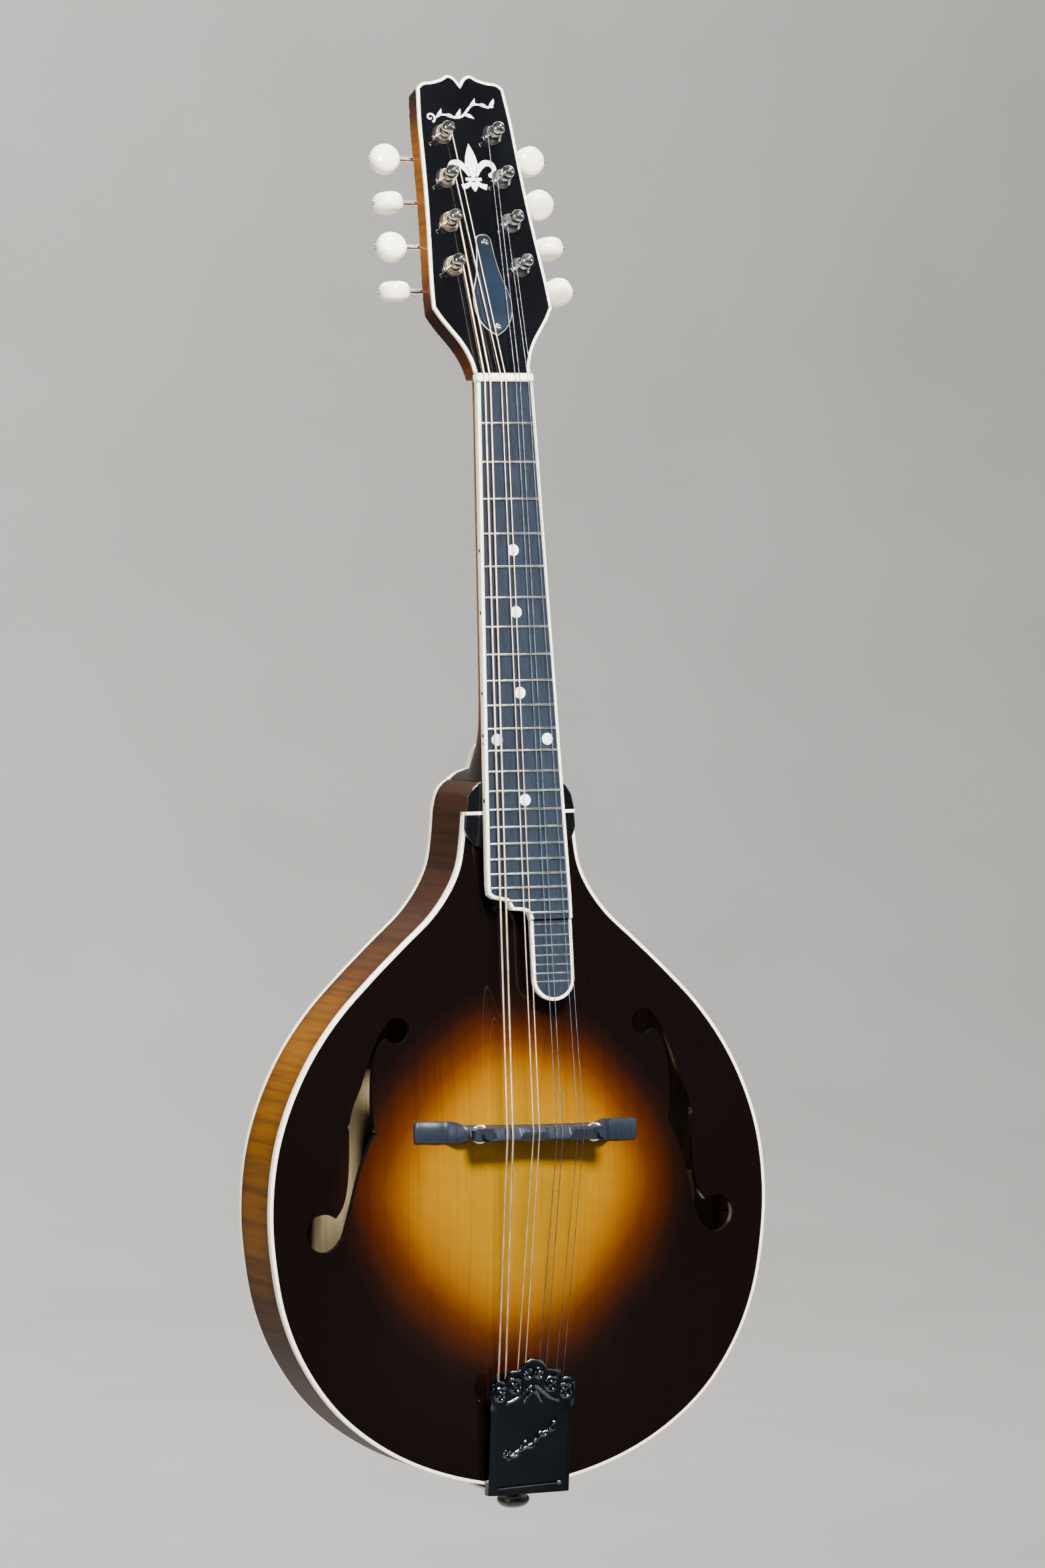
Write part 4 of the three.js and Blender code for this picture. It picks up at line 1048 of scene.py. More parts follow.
def nut():
    """Bone nut: rounded over its ends and crown, with a slot filed for each string."""
    half = NUT_HALF_WIDTH + 0.4
    slots = tuple(zip(NUT_X, STRING_RADIUS))
    across = [np.linspace(-half, half, 90)]
    across += [np.linspace(x - r - 0.25, x + r + 0.25, 9) for x, r in slots]
    rings = []
    for x in np.unique(np.concatenate(across)):
        end = 1 - math.sqrt(max(1 - ((abs(x) - half + 1.2) / 1.2) ** 2, 0)) if abs(x) > half - 1.2 else 0
        filed = max(math.sqrt(max((r + 0.2) ** 2 - (x - s) ** 2, 0)) for s, r in slots)
        low_z, high_z = 0.1 + end * 0.8, 4.3 - end * 0.8
        front = -1.25 + end * 1.2 + 0.75 * filed
        rings.append([
            (x, BOARD_THICKNESS, low_z), (x, front + 0.5, low_z), (x, front + 0.12, low_z + 0.25),
            (x, front, low_z + 0.7), (x, front + 0.02, low_z + 1.9), (x, front + 0.35, low_z + 3),
            (x, front + 0.9, high_z - 0.5), (x, front + 1.5, high_z), (x, BOARD_THICKNESS, high_z),
        ])
    piece("bone_nut", loft(rings), NECK, BONE, sharp=60, replaces="nut")


# ------------------------------------------------------------------ headstock face
def leaf(root, tip, width, lean=0.0):
    """A pointed leaf from root to tip as a flat outline; lean bows it to one side."""
    root, tip = np.array(root, float), np.array(tip, float)
    t = np.linspace(0, 1, 15)
    left = np.array([-(tip - root)[1], (tip - root)[0]]) / np.linalg.norm(tip - root)
    spine = root + (tip - root) * t[:, None] + left * (lean * 4 * t * (1 - t))[:, None]
    half = (width / 2 * np.sin(np.pi * t ** 0.8))[:, None]
    return np.vstack([spine + left * half, (spine - left * half)[-2:0:-1]])


def vine(start, end, wave, width, front, back):
    """A waving stem with a leaf at each crest and a curl at its root."""
    start, end = np.array(start, float), np.array(end, float)
    along = (end - start) / np.linalg.norm(end - start)
    left = np.array([-along[1], along[0]])
    leaves = 7

    def stem(t):
        return start + (end - start) * t + left * wave * np.sin(t * np.pi * leaves / 2)

    t = np.linspace(0, 1, 70)
    shapes = [strip(stem(t[:, None]), width * (0.5 + 0.5 * np.sin(np.pi * t)), front, back)]
    for i in range(leaves):
        side = 1 if i % 2 == 0 else -1
        root = stem((i + 0.5) / leaves)
        tip = root + along * 4.4 + left * side * 3.6
        shapes.append(prism(leaf(root, tip, 1.9, -0.6 * side), front, back))
    curl = scroll(start - along * 0.6 + left * 2.3, 2.6, -70, 1.15, 30)
    shapes.append(strip(curl, np.linspace(width, 0.7, 30), front, back))
    return joined(*shapes)


def lily():
    """Inlay: a pointed middle petal, two petals that curl outward, a band and a small foot."""
    front, back = -0.05, 0.6
    shapes = [prism(leaf((0, 100), (0, 118.4), 6.4), front, back)]
    petal = smooth([(1.6, 101.4), (3.6, 105.2), (7, 108.2), (10.2, 107.6), (11.4, 104.6), (9.8, 102.2)], 28)
    swell = 0.9 + 2.3 * np.sin(np.pi * np.linspace(0.08, 0.95, 29)) ** 0.8
    foot = smooth([(1.2, 98.6), (3.4, 96.6), (6.4, 95.6)], 10)
    for side in (-1, 1):
        shapes.append(strip(petal * (side, 1), swell, front, back))
        shapes.append(strip(foot * (side, 1), np.linspace(1.6, 3.0, 11), front, back))
        shapes.append(rod((9.4 * side, 101.9), 1.35, 18, front, back))
    shapes.append(slab(4.2, 98.9, 100.5, front, back))
    shapes.append(prism(leaf((0, 98.4), (0, 93.2), 3.4), front, back))
    piece("lily_inlay", joined(*shapes), HEAD, PEARL)


def headstock_face():
    inner = inset(head_outline, HEAD_BINDING)
    foot = 12.9
    veneer = prism(inner, 0, OVERLAY_THICKNESS)
    cut(piece("headstock_veneer", veneer, HEAD, BLACK, replaces="headstock_overlay"), post_bores(), HEAD)
    piece("veneer_foot", slab(foot, -0.1, 1.7, 0, OVERLAY_THICKNESS), HEAD, BLACK)
    band = hoop(head_outline, inner, 0, OVERLAY_THICKNESS)
    edging = piece("headstock_edge", band, HEAD, IVOROID, sharp=50, replaces="headstock_binding")
    cut(edging, slab(foot, -2, 2.6, -3, 5), HEAD)
    piece("vine_inlay", vine((-16.6, 129.8), (15.4, 139.8), 2.0, 1.15, -0.05, 0.6), HEAD, PEARL)
    lily()


def truss_cover():
    half = smooth(
        [(0, 18.4), (4.6, 21.6), (8.4, 27), (9.9, 34.5), (9, 41.4), (6.4, 50), (4.7, 60), (3.9, 68.4)], 50
    )
    crown = smooth([(3.9, 68.4), (2.6, 70.2), (0, 70.9)], 8)[1:]
    outline = both_sides(np.vstack([half, crown]))
    steps = ((0, -0.02), (0, -0.55), (0.32, -0.95), (0.36, -1.0), (1.05, -1.85))
    rings = [at_y(inset(outline, step) if step else outline, y) for step, y in steps]
    made = piece("truss_rod_cover", loft(rings), HEAD, CELLULOID, sharp=20, replaces="truss_cover")
    made.data.materials.append(IVOROID)
    for face in made.data.polygons:
        if face.index // len(outline) == 1 and len(face.vertices) == 4:
            face.material_index = 1
    screws = [screw((0.1, 66.2), -1.85, 2.0), screw((0.2, 22.6), -1.85, 2.0)]
    piece("cover_screws", joined(*screws), HEAD, NICKEL, sharp=30)


def screw(place, front, radius, facing=-1):
    """A domed screw head with a slot across it; facing is -1 for the front and 1 for the back."""
    points, faces = turned([
        (0, -0.95), (radius * 0.5, -0.89), (radius * 0.82, -0.67), (radius, -0.33), (radius, 0), (0, 0),
    ], 24)
    slot = 0.18 * radius
    slotted = [(x, y + (0.32 if abs(z) < slot and y < -0.3 else 0), z) for x, y, z in points]
    return moved((np.array(slotted) * (1, -facing, 1), faces), (place[0], front, place[1]))


# ------------------------------------------------------------------ tuners
def post_of_string(string):
    return posts[POST_OF_STRING[string] + (4 if string > 3 else 0)]


def tuner_post(post):
    body = "post_" + post["name"]
    top = -CAP_HEIGHT
    stem = turned([
        (0, 17.6), (2.2, 17.6), (POST_RADIUS, 17.2), (POST_RADIUS, top + 4.6), (2.6, top + 4.1),
        (2.1, top + 3.5), (2.0, top + 3.0), (2.3, top + 2.6), (2.9, top + 1.9), (3.2, top + 1.0),
        (3.3, top), (3.15, top - 1.0), (2.7, top - 1.9), (2.0, top - 2.5), (1.2, top - 2.8),
        (0.95, top - 3.0), (0.8, top - 3.4), (0.4, top - 3.7), (0, top - 3.8),
    ], 32)
    turn = np.arange(GEAR_TEETH * 4) * math.pi / (GEAR_TEETH * 2)
    radius = np.array([4.5, 4.5, 3.8, 3.8] * GEAR_TEETH)
    gear = prism(np.stack([radius * np.cos(turn), radius * np.sin(turn)], axis=1), 14.5, 17.0)
    shape = moved(joined(stem, gear, screw((0, 0), 18.6, 2.0, 1)), (post["x"], 0, post["z"]))
    piece("peg_" + post["name"], shape, HEAD, NICKEL, body, 40, "tuner_" + body)

    string = next(s for s in range(8) if post_of_string(s) is post)
    r = STRING_RADIUS[string]
    reach = POST_RADIUS + r + 0.35
    turns = 3.4 if r > 0.25 else 5.4
    phi = np.linspace(0, turns * 2 * math.pi, int(turns * 28))
    coil = np.stack([
        post["x"] - post["side"] * reach * np.cos(phi),
        STRING_LEAVES_POST + phi / (2 * math.pi) * (2 * r + 0.06),
        post["z"] + reach * np.sin(phi),
    ], axis=1)
    y = STRING_LEAVES_POST - 0.9
    end = respaced([(post["x"], y, post["z"]), (post["x"] - 5.6, y, post["z"] - 3.4)], 3)
    wound = joined(tube(coil, r, 8), tube(end, r, 8))
    piece("coil_" + post["name"], wound, HEAD, WOUND if string < 4 else PLAIN, body)


def bushings():
    profile = [
        (3.5, 0.6), (5.1, 0.6), (5.1, -0.25), (4.8, -0.55), (4.2, -0.8), (3.75, -1.25), (3.5, -1.25),
        (3.5, 0.6),
    ]
    points, faces = turned(profile, 32)
    rings = [moved((points, faces[:-2]), (post["x"], 0, post["z"])) for post in posts]
    piece("post_bushings", joined(*rings), HEAD, NICKEL, sharp=30)


def pillow(radius, half_thickness, fullness):
    """A round button: a disc whose section is a full, soft-edged oblong."""
    turn = np.linspace(-math.pi / 2, math.pi / 2, 21)
    bend = lambda v: np.sign(v) * np.abs(v) ** (2 / fullness)
    return turned([*zip(radius * bend(np.cos(turn)), half_thickness * bend(np.sin(turn)))], 44)


def tuner_button(post):
    name, body = post["name"], "button_" + post["name"]
    knob = moved(pillow(BUTTON_RADIUS, BUTTON_HALF_THICKNESS, 3.0), (BUTTON_REACH + 0.3, 0, 0))
    end = BUTTON_REACH + 8.5
    tip = turned([
        (0, end - 3.5), (1.5, end - 3.5), (1.5, end - 0.3), (1.2, end), (0.5, end), (0.4, end - 0.3),
        (0, end - 0.3),
    ], 20, "x")
    thread = [(1.85 if i % 2 else 1.25, -2.3 + i * 0.33) for i in range(15)]
    shaft = turned([
        (0, -5.3), (1.0, -5.3), (1.2, -5.1), (1.2, -2.4), *thread, (1.2, 2.5), (1.2, BUTTON_REACH - 6),
        (0, BUTTON_REACH - 6),
    ], 20, "x")
    at = (post["x"], WORM_DEPTH, post["z"] - WORM_BELOW_POST)
    turn = Matrix.Rotation(math.radians(post["turn"]), 4, "X")
    if post["side"] < 0:
        turn = Matrix.Rotation(math.pi, 4, "Z") @ turn
    piece(body, moved(knob, at, turn), HEAD, BUTTON_CREAM, body, 40, "tuner_" + body)
    piece("button_shaft_" + name, moved(joined(shaft, tip), at, turn), HEAD, FRET_METAL, body, 30)


LUG_CROWN = np.linspace(-1.57, 1.57, 12)
LUG_HOLE = np.arange(14) * math.pi / 7


def tuner_plate(side_name, side):
    row = [post for post in posts if post["side"] == side]
    lean = (row[0]["x"] - row[3]["x"]) / (row[0]["z"] - row[3]["z"])
    centre = lambda z: row[0]["x"] + (z - row[0]["z"]) * lean
    ends = [arc((centre(z), z), 4.8, start, start + 180, 14) for z, start in ((130, 0), (43, 180))]
    front, back = HEAD_THICKNESS + 0.05, HEAD_THICKNESS + 1.3
    shape = prism(np.vstack(ends), front, back)
    name = f"plate_{side_name}"
    plate = piece(name, shape, HEAD, NICKEL, sharp=30, replaces="tuner_" + name)
    bores = [rod((post["x"], post["z"]), 3.45, 24, front - 2, back + 2) for post in row]
    cut(plate, joined(*bores), HEAD)
    eased(plate, 0.25)
    lugs = []
    for post in row:
        z = post["z"] - WORM_BELOW_POST
        crown = [(WORM_DEPTH - 0.2 + 2.2 * math.cos(t), z + 2.2 * math.sin(t)) for t in LUG_CROWN]
        profile = [(back - 0.2, z - 2.2), *crown, (back - 0.2, z + 2.2)]
        hole = [(WORM_DEPTH + 1.4 * math.cos(t), z + 1.4 * math.sin(t)) for t in LUG_HOLE]
        for x in (post["x"] - 3.6, post["x"] + 3.6):
            lugs.append(bored_lug(profile, hole, x - 0.7, x + 0.7))
    piece(f"lugs_{side_name}", joined(*lugs), HEAD, NICKEL, sharp=30)
    fixings = [screw((centre(z), z), back, 1.5, 1) for z in (131, 111.5, 88.6, 65.7, 42.6)]
    piece(f"plate_screws_{side_name}", joined(*fixings), HEAD, NICKEL, sharp=30)


def bored_lug(profile, hole, low_x, high_x):
    """A lug with a hole through it: its outline is walked by angle about the hole."""
    centre = np.mean(hole, axis=0)
    dense = respaced(np.vstack([profile, profile[:1]]), 120)
    angles = np.arctan2(*(dense - centre).T[::-1])
    outer = []
    for t in np.arctan2(*(np.array(hole) - centre).T[::-1]):
        outer.append(dense[np.argmin(np.abs((angles - t + np.pi) % (2 * np.pi) - np.pi))])
    walls = ((low_x, hole), (low_x, outer), (high_x, outer), (high_x, hole), (low_x, hole))
    return loft([[(x, *p) for p in wall] for x, wall in walls], caps=False)


# ------------------------------------------------------------------ strings
def strings():
    for i, r in enumerate(STRING_RADIUS):
        post = post_of_string(i)
        leave_x = post["x"] - post["side"] * (POST_RADIUS + r + 0.35)
        corners = [
            head_in_body @ Vector((leave_x, STRING_LEAVES_POST, post["z"])),
            neck_in_body @ Vector((NUT_X[i], -0.45 - r, 4.3)),
            neck_in_body @ Vector((NUT_X[i], -1.1 - r - 0.15, 1.9)),
            bridge_in_body @ Vector((SADDLE_X[i], -SADDLE_TOP - r - 0.15, CREST_STEPS[i // 2][2])),
            Vector((HOOK_X[i], -5.4, HOOK_Z)),
        ]
        path = [corners[0]]
        for before, corner, after in zip(corners, corners[1:], corners[2:]):
            ease = min(0.8, (before - corner).length / 3, (after - corner).length / 3)
            back, ahead = (before - corner).normalized() * ease, (after - corner).normalized() * ease
            path += [corner + back, corner + (back + ahead) * 0.25, corner + ahead]
        wire = tube([tuple(p) for p in (*path, corners[-1])], r, 12)
        metal = WOUND if i < 4 else PLAIN
        piece(f"string_wire_{i + 1}", wire, BODY, metal, sharp=60, replaces=f"string_{i + 1}")


# ------------------------------------------------------------------ bridge
def stud_holes(radius, front, back):
    return joined(*(rod((side * BRIDGE_POST_X, 0), radius, 20, front, back) for _, side in SIDES))


def bridge_base():
    """Ebony base: two feet fitted to the arch, rising to a raised middle under the wheels."""
    half = BASE_HALF_LENGTH
    outline = inset(front_outline, BINDING_WIDTH)
    depths = np.array([-1, -1, -0.94, -0.8, -0.4, 0, 0.4, 0.8, 0.94, 1, 1, 0.5, 0, -0.5])
    under = [0, 10, 11, 12, 13]
    rings = []
    for x in np.concatenate([[-half], np.linspace(0.3 - half, half - 0.3, 150), [half]]):
        a = abs(x)
        rounded = math.sqrt(max(1 - max(0, (a - half + 1.2) / 1.2) ** 2, 0.02))
        z = depths * (3.5 + 1.8 * smoothstep(a, 33, 40)) * (0.72 + 0.28 * rounded)
        height = 7.4 + 1.9 * smoothstep(-a, -57, -44) + 6.7 * smoothstep(-a, -43.5, -34)
        y = np.full(len(depths), 0.8 * (1 - rounded) - height)
        y[1:10] += 1.3 * depths[1:10] ** 4
        y[[1, 9]] += 0.9
        on_top = np.array([bridge_in_body @ Vector((x, 0, z[k])) for k in under])
        foot = top_face(ring_scale(on_top[:, 0], on_top[:, 2], outline)) + 0.05
        y[under] = foot - 0.9 * (1 - smoothstep(a, 19, 27))
        rings.append([(x, yy, zz) for yy, zz in zip(y, z)])
    made = piece("base_of_bridge", loft(rings), BRIDGE, BRIDGE_EBONY, sharp=38, replaces="bridge_base")
    cut(made, stud_holes(1.7, -30, -BASE_TOP + 5), BRIDGE, sharp=38)


def saddle_crest(x):
    """Where the saddle's crest lies across its thickness: it steps under each pair of strings."""
    crest = CREST_STEPS[0][2]
    for (_, end, before), (start, _, after) in zip(CREST_STEPS, CREST_STEPS[1:]):
        crest += (after - before) * smoothstep(x, end - 0.4, start + 0.4)
    return crest


def saddle():
    rings = []
    for x in np.linspace(-SADDLE_HALF_LENGTH, SADDLE_HALF_LENGTH, 172):
        inside = smoothstep(SADDLE_HALF_LENGTH - abs(x), 0, 1.2)
        raised = smoothstep(x, -26, -23.2) * smoothstep(-x, -27.6, -25)
        shoulder = 26.3 - 1.4 * (1 - inside)
        top = shoulder + (SADDLE_TOP - shoulder) * raised
        if raised > 0.5 and any(abs(x - s) < 0.35 for s in SADDLE_X):
            top -= 0.16
        half = 3.1 * (0.7 + 0.3 * inside)
        crest = saddle_crest(x) * raised
        ridge = 0.96 * (half - (half - 0.65) * raised)
        ring = [(x, -top, crest - ridge), (x, -top, crest + ridge)]
        for y, z in ((shoulder - 0.15, half - 0.1), (shoulder - 0.9, half), (SADDLE_BOTTOM, half)):
            ring = [(x, -y, -z), *ring, (x, -y, z)]
        rings.append(ring)
    made = piece("saddle_of_bridge", loft(rings), BRIDGE, BRIDGE_EBONY, "saddle", 32, "bridge_saddle")
    cut(made, stud_holes(1.8, -32, -14), BRIDGE, sharp=32)


def bridge_hardware():
    start, end, pitch = -25.4, -BASE_TOP + 4.5, 0.4
    turns = range(int((end - start) / pitch) - 1)
    thread = [(1.6 if i % 2 else 1.28, start + (i + 1) * pitch) for i in turns]
    stud = turned(
        [(0, start - 0.25), (1.0, start - 0.2), (1.45, start + 0.1), *thread, (1.4, end), (0, end)], 24
    )
    teeth = 44
    turn = np.arange(teeth * 2) * math.pi / teeth
    circle = np.stack([np.cos(turn), np.sin(turn)], axis=1)
    rim = circle * np.where(np.arange(teeth * 2) % 2, WHEEL_RADIUS, WHEEL_RADIUS - 0.28)[:, None]
    steps = (
        (circle * 1.85, -WHEEL_BOTTOM), (rim * 0.86, -WHEEL_BOTTOM), (rim, -WHEEL_BOTTOM - 0.4),
        (rim, -WHEEL_TOP + 0.4), (rim * 0.86, -WHEEL_TOP), (circle * 1.85, -WHEEL_TOP),
        (circle * 1.85, -WHEEL_BOTTOM),
    )
    wheel = loft([at_y(loop, y) for loop, y in steps], caps=False)
    for name, side in SIDES:
        at = (side * BRIDGE_POST_X, 0, 0)
        piece(f"stud_{name}", moved(stud, at), BRIDGE, NICKEL, sharp=25, replaces=f"bridge_post_{name}")
        piece(
            f"thumbwheel_{name}", moved(wheel, at), BRIDGE, FRET_METAL, f"wheel_{name}", 30,
            f"bridge_wheel_{name}",
        )


# ------------------------------------------------------------------ tailpiece
def cover_height(z):
    return 6.2 + COVER_SLOPE * (z - COVER_TAIL)


def cover_edges():
    """The cover's outline as four sides: left, right and bottom edges, and the lobed head edge."""
    side = np.vstack([
        respaced([(COVER_HALF, COVER_TAIL), (COVER_HALF, -285.5)], 60),
        bowed((COVER_HALF, -285.5), (21.4, -281.6), -0.2, 6)[1:],
        bowed((21.4, -281.6), (20.6, -273.2), -1.1, 14)[1:],
    ])
    lobes = np.vstack([
        bowed((20.6, -273.2), (14.6, -271.4), -2.2, 12), bowed((14.6, -271.4), (7.0, -265.6), -2.1, 14)[1:],
        bowed((7.0, -265.6), (0, -260.2), -1.0, 12)[1:],
    ])
    head = np.vstack([lobes, mirrored(lobes)[1:]])[::-1]
    return side * (-1, 1), side, head


def patch(left, right, head, columns, rows):
    """Fills four edges with a grid of points: transfinite interpolation."""
    left, right = respaced(left, rows), respaced(right, rows)
    head = respaced(head, columns)
    foot = np.linspace(left[0], right[0], columns + 1)
    s = np.linspace(0, 1, columns + 1)[None, :, None]
    t = np.linspace(0, 1, rows + 1)[:, None, None]
    sides = (1 - s) * left[:, None] + s * right[:, None]
    ends = (1 - t) * foot[None] + t * head[None]
    corners = (1 - t) * ((1 - s) * foot[0] + s * foot[-1]) + t * ((1 - s) * head[0] + s * head[-1])
    return sides + ends - corners


def scroll(centre, radius, start, turns, steps=46):
    """A spiral that winds in to its centre."""
    t = np.linspace(0, 1, steps)
    angle = np.radians(start) + t * turns * 2 * np.pi
    reach = radius * (1 - 0.85 * t)
    return np.stack([centre[0] + reach * np.cos(angle), centre[1] + reach * np.sin(angle)], axis=1)


def relief_lines():
    """Raised lines of the cover and their widths: scrolls under the lobes, a leafy spray below them."""
    lines = []
    for line, width in (
        (scroll((16.6, -277.6), 3.9, 120, -1.4), 0.5), (scroll((9.6, -273.8), 4.2, 60, 1.35), 0.5),
        (scroll((3.2, -268.2), 2.7, 100, 1.3), 0.42),
        (smooth([(13.2, -281.6), (8.4, -279.6), (4.6, -276.6), (1.2, -274.0)], 20), 0.45),
        (smooth([(4.4, -281.4), (2.6, -278.4), (0.8, -276.6)], 12), 0.4),
    ):
        lines += [(line * (-1, 1), width), (line, width)]
    stem = smooth(
        [(-11.4, -308.6), (-7.4, -305.4), (-2.4, -303.6), (2.6, -300.2), (6.4, -296.8), (11.4, -295.6)], 44
    )
    lines.append((stem, 0.42))
    for i, at in enumerate((4, 12, 19, 26, 33, 40)):
        side = 1 if i % 2 else -1
        lines.append((bowed(stem[at], stem[at] + (2.6, 2.2 + 1.8 * side), 0.7 * side, 10), 0.5))
    lines.append((scroll((-12.6, -306.6), 2.4, -60, 1.2), 0.4))
    return lines


def cover_face(x, z):
    """The cover's height over a grid: sloped, with rounded flanks, relief, a fold and a raised rim."""
    flank = np.clip((np.abs(x) - 18.3) / 2.6, 0, 1.3)
    height = cover_height(z) - 1.1 * flank ** 1.6 * smoothstep(-z, 281, 286)
    for line, width in relief_lines():
        near = np.min(np.hypot(x[..., None] - line[:, 0], z[..., None] - line[:, 1]), axis=-1)
        height = height + 0.75 * np.exp(-(near / width) ** 2)
    fold_z = -322.8 + 0.035 * (x + 16)
    height = height + 0.3 * np.exp(-((z - fold_z) / 0.32) ** 2) * (np.abs(x) < 16.4)
    height = height + 0.8 * np.exp(-(np.hypot(x - 15.4, z - fold_z[0, -1] + 0.2) / 0.7) ** 2)
    rows, columns = (np.arange(count)[::-1] for count in x.shape)
    edge = np.minimum(np.minimum(columns[::-1], columns)[None, :], rows[:, None])
    return height + 0.45 * smoothstep(z, -285, -274) * np.exp(-((edge - 2.2) / 1.1) ** 2)


def tailpiece_cover():
    columns, rows = 124, 190
    grid = patch(*cover_edges(), columns, rows)
    x, z = grid[..., 0], grid[..., 1]
    points = [*np.stack([x, -cover_face(x, z), z], axis=-1).reshape(-1, 3)]
    wide = columns + 1
    faces = [
        (r * wide + c, r * wide + c + 1, (r + 1) * wide + c + 1, (r + 1) * wide + c)
        for r in range(rows) for c in range(columns)
    ]
    border = (
        [r * wide for r in range(rows, -1, -1)] + list(range(1, wide))
        + [r * wide + columns for r in range(1, rows + 1)]
    )
    previous = border
    for share in (0.5, 1.0):
        row = []
        for index in border:
            px, py, pz = points[index]
            row.append(len(points))
            points.append((px, py + 4.3 * share * smoothstep(-pz, 279.5, 285) + 0.02, pz))
        faces += [(a, b, d, c) for a, b, c, d in zip(previous, previous[1:], row, row[1:])]
        previous = row
    made = piece("cover_plate", (points, faces), BODY, NICKEL_PAINTED_DARK, "cover", 50, "tailpiece_cover")
    if made.data.polygons[0].normal.y > 0:
        made.data.flip_normals()
    thick = made.modifiers.new("thick", "SOLIDIFY")
    thick.thickness = 0.0008
    thick.offset = -1
    applied(made, 50)


def end_pin():
    # The profile's lengths run from the rim's end towards the tail.
    profile = [
        (0, -11.6), (2.8, -11.6), (2.8, 1.3), (4.6, 1.3), (4.7, 1.9), (4.3, 2.7), (4.4, 3.6), (5.4, 4.8),
        (7.0, 5.6), (7.7, 6.4), (7.9, 7.4), (7.6, 8.6), (6.7, 9.9), (5.4, 10.8), (4.0, 11.3), (0, 11.4),
    ]
    shape = turned([(radius, TAIL_EDGE - out) for radius, out in profile], 48, "z")
    piece("strap_pin", moved(shape, (0, END_PIN_Y, 0)), BODY, PIN_EBONY, sharp=30, replaces="end_pin")
    face_tail = Matrix.Rotation(-math.pi / 2, 4, "X")
    head = screw((0, 0), 0, 1.7, 1)
    screws = [moved(head, (x, y, TAIL_EDGE - 1.2), face_tail) for x, y in ((-11, 6), (11, 6), (0, 21.5))]
    piece("tailpiece_screws", joined(*screws), BODY, NICKEL, sharp=30)


# ------------------------------------------------------------------ CAD nodes that stay
def dress_kept_nodes():
    """Gives each CAD node a material of its slot; the nodes that no piece replaces are seen with it."""
    looks = {slot: material for material, slot in SLOTS.items()}
    for row in frame["record"]["subparts"]:
        materials = frame["nodes"][row["node"]].data.materials
        materials.clear()
        materials.append(looks[row["material_slot"]])


# ------------------------------------------------------------------ stage
def camera():
    azimuth, elevation, roll = (math.radians(a) for a in CAMERA_TURN)
    out = Vector((math.sin(azimuth), -math.cos(azimuth), 0)) * math.cos(elevation)
    back = out + Vector((0, 0, math.sin(elevation)))
    level = Vector((math.cos(azimuth), math.sin(azimuth), 0))
    upright = back.cross(level)
    right = level * math.cos(roll) + upright * math.sin(roll)
    up = upright * math.cos(roll) - level * math.sin(roll)
    data = bpy.data.cameras.new("camera")
    data.lens = CAMERA_LENS
    data.sensor_width = 36
    data.clip_end = 50
    made = linked("camera", data)
    turn = Matrix((right, up, back)).transposed().to_4x4()
    made.matrix_world = Matrix.Translation(CAMERA_PLACE) @ turn
    bpy.context.scene.camera = made


def soft_light(name, place, aim, size, watts, tint="ffffff", spread=50):
    data = bpy.data.lights.new(name, "AREA")
    data.shape = "RECTANGLE"
    data.size, data.size_y = size
    data.energy = watts
    data.spread = math.radians(spread)
    data.color = colour(tint)[:3]
    made = linked(name, data)
    made.location = place
    made.rotation_euler = (Vector(aim) - Vector(place)).to_track_quat("-Z", "Y").to_euler()


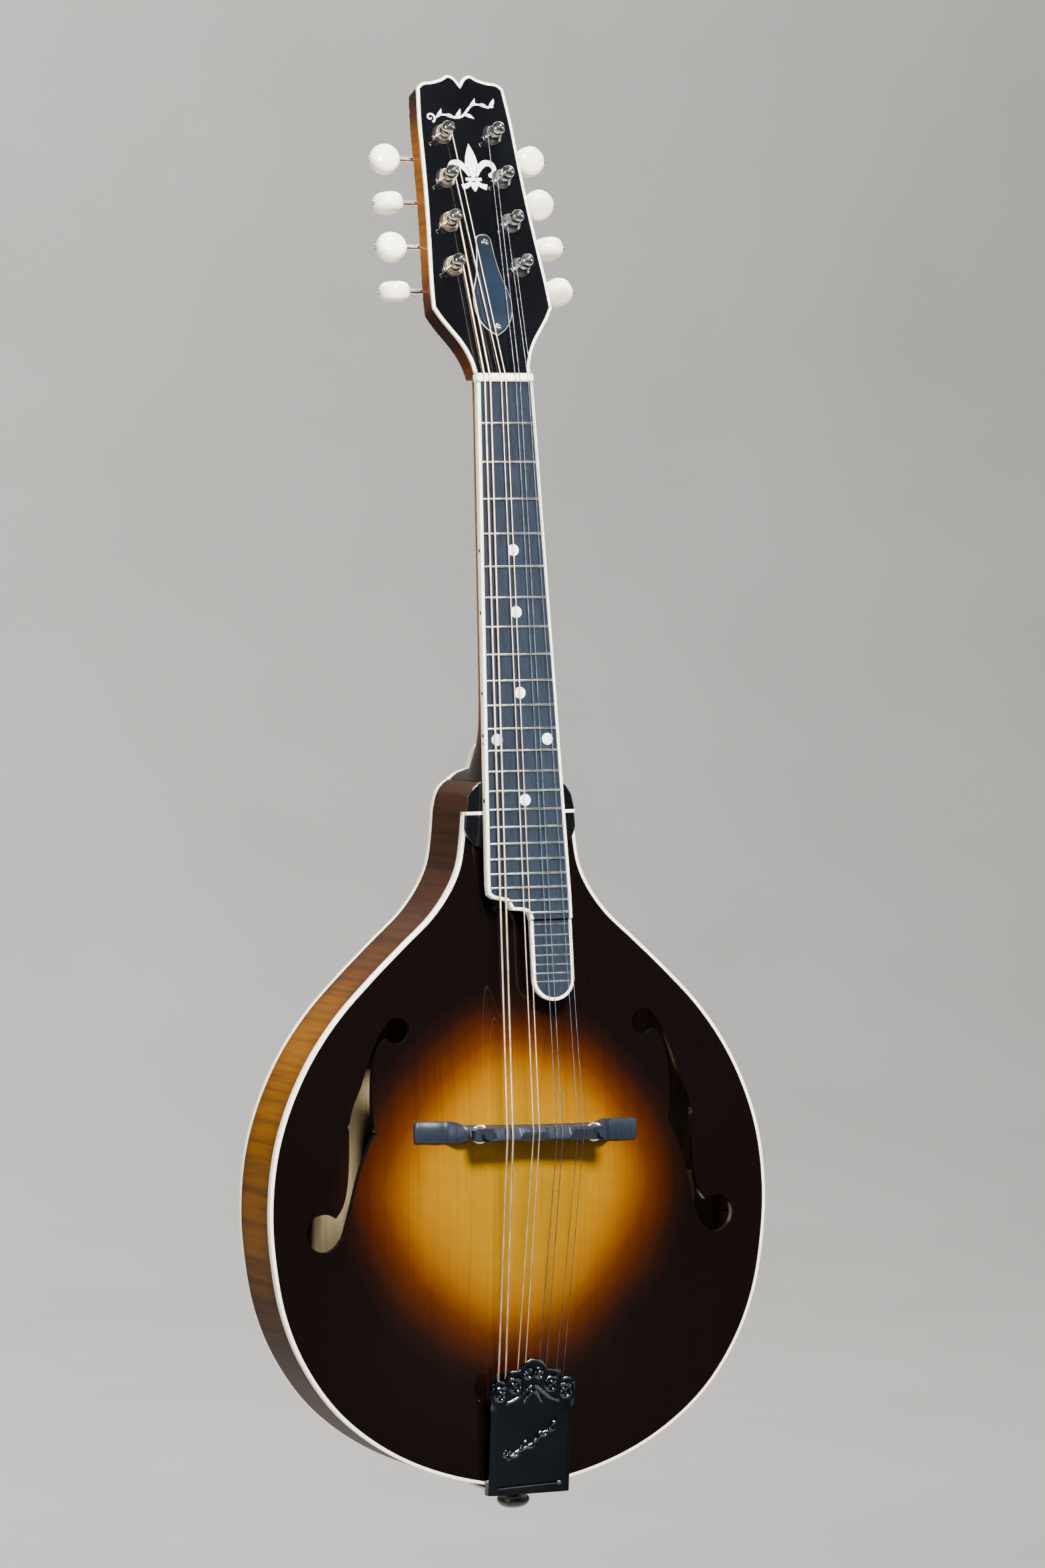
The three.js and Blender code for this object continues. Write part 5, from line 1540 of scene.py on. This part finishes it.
def studio():
    """A pale floor that bends up into a wall, soft lights round the part, and a dim sky."""
    far, near_wall, corner = 9.0, 5.2, 1.4
    plain = Finish("plain_floor")
    cloud = plain.noise(plain.coords, 3.0, 3.0)
    plain.set(Base_Color=plain.blend(cloud, "d2d0cb", "d9d7d2"), Roughness=0.8)
    bend = np.linspace(0.1, math.pi / 2, 14)
    sweep = [(y, FLOOR_HEIGHT) for y in np.linspace(-far, near_wall, 8)]
    sweep += [(near_wall + corner * math.sin(t), FLOOR_HEIGHT + corner * (1 - math.cos(t))) for t in bend]
    sweep += [(near_wall + corner, z) for z in np.linspace(FLOOR_HEIGHT + corner + 0.2, 5, 6)]
    rings = [[(x, y, z) for y, z in sweep] for x in np.linspace(-far, far, 5)]
    floor = meshed("floor", loft(rings, closed=False, caps=False))
    floor.data.materials.append(plain.material)
    floor.data.shade_smooth()
    middle = (0, 0, -0.25)
    soft_light("key", (-0.3, -2.1, 1.3), middle, (0.75, 0.5), 29)
    soft_light("overhead", (0.4, -0.8, 2.3), middle, (1.0, 0.7), 12)
    soft_light("left_window", (-2.7, -1.5, 0.1), middle, (1.0, 1.8), 6.5, "f4f8ff")
    soft_light("right_window", (2.6, -0.9, 0.6), middle, (0.8, 1.6), 2.5)
    soft_light("rear_right", (1.6, 2.4, 1.5), middle, (1.2, 1.2), 12)
    soft_light("rear_left", (-0.7, 2.7, 1.9), middle, (1.2, 1.0), 9)
    soft_light("backdrop_light", (0, 3.2, 3.4), (0, 6.4, 0), (5, 1), 330, spread=180)
    world = bpy.data.worlds.new("studio")
    world.use_nodes = True
    background = world.node_tree.nodes["Background"]
    background.inputs["Color"].default_value = colour("dfe2e6")
    background.inputs["Strength"].default_value = 0.12
    bpy.context.scene.world = world


# ------------------------------------------------------------------ build
dress_kept_nodes()
top_plate()
back_plate()
for side_name, side in SIDES:
    rib(side_name, side)
    kerfed_lining("top", BINDING_DEPTH + 0.3, 1, side_name, side)
    kerfed_lining("back", RIM_DEPTH - BINDING_DEPTH - 0.3, -1, side_name, side)
body_bindings()
riser()
neck()
cheeks()
fingerboard()
frets()
position_marks()
nut()
headstock_face()
truss_cover()
bushings()
for post in posts:
    tuner_post(post)
    tuner_button(post)
for side_name, side in SIDES:
    tuner_plate(side_name, side)
strings()
bridge_base()
saddle()
bridge_hardware()
tailpiece_cover()
end_pin()
camera()
studio()
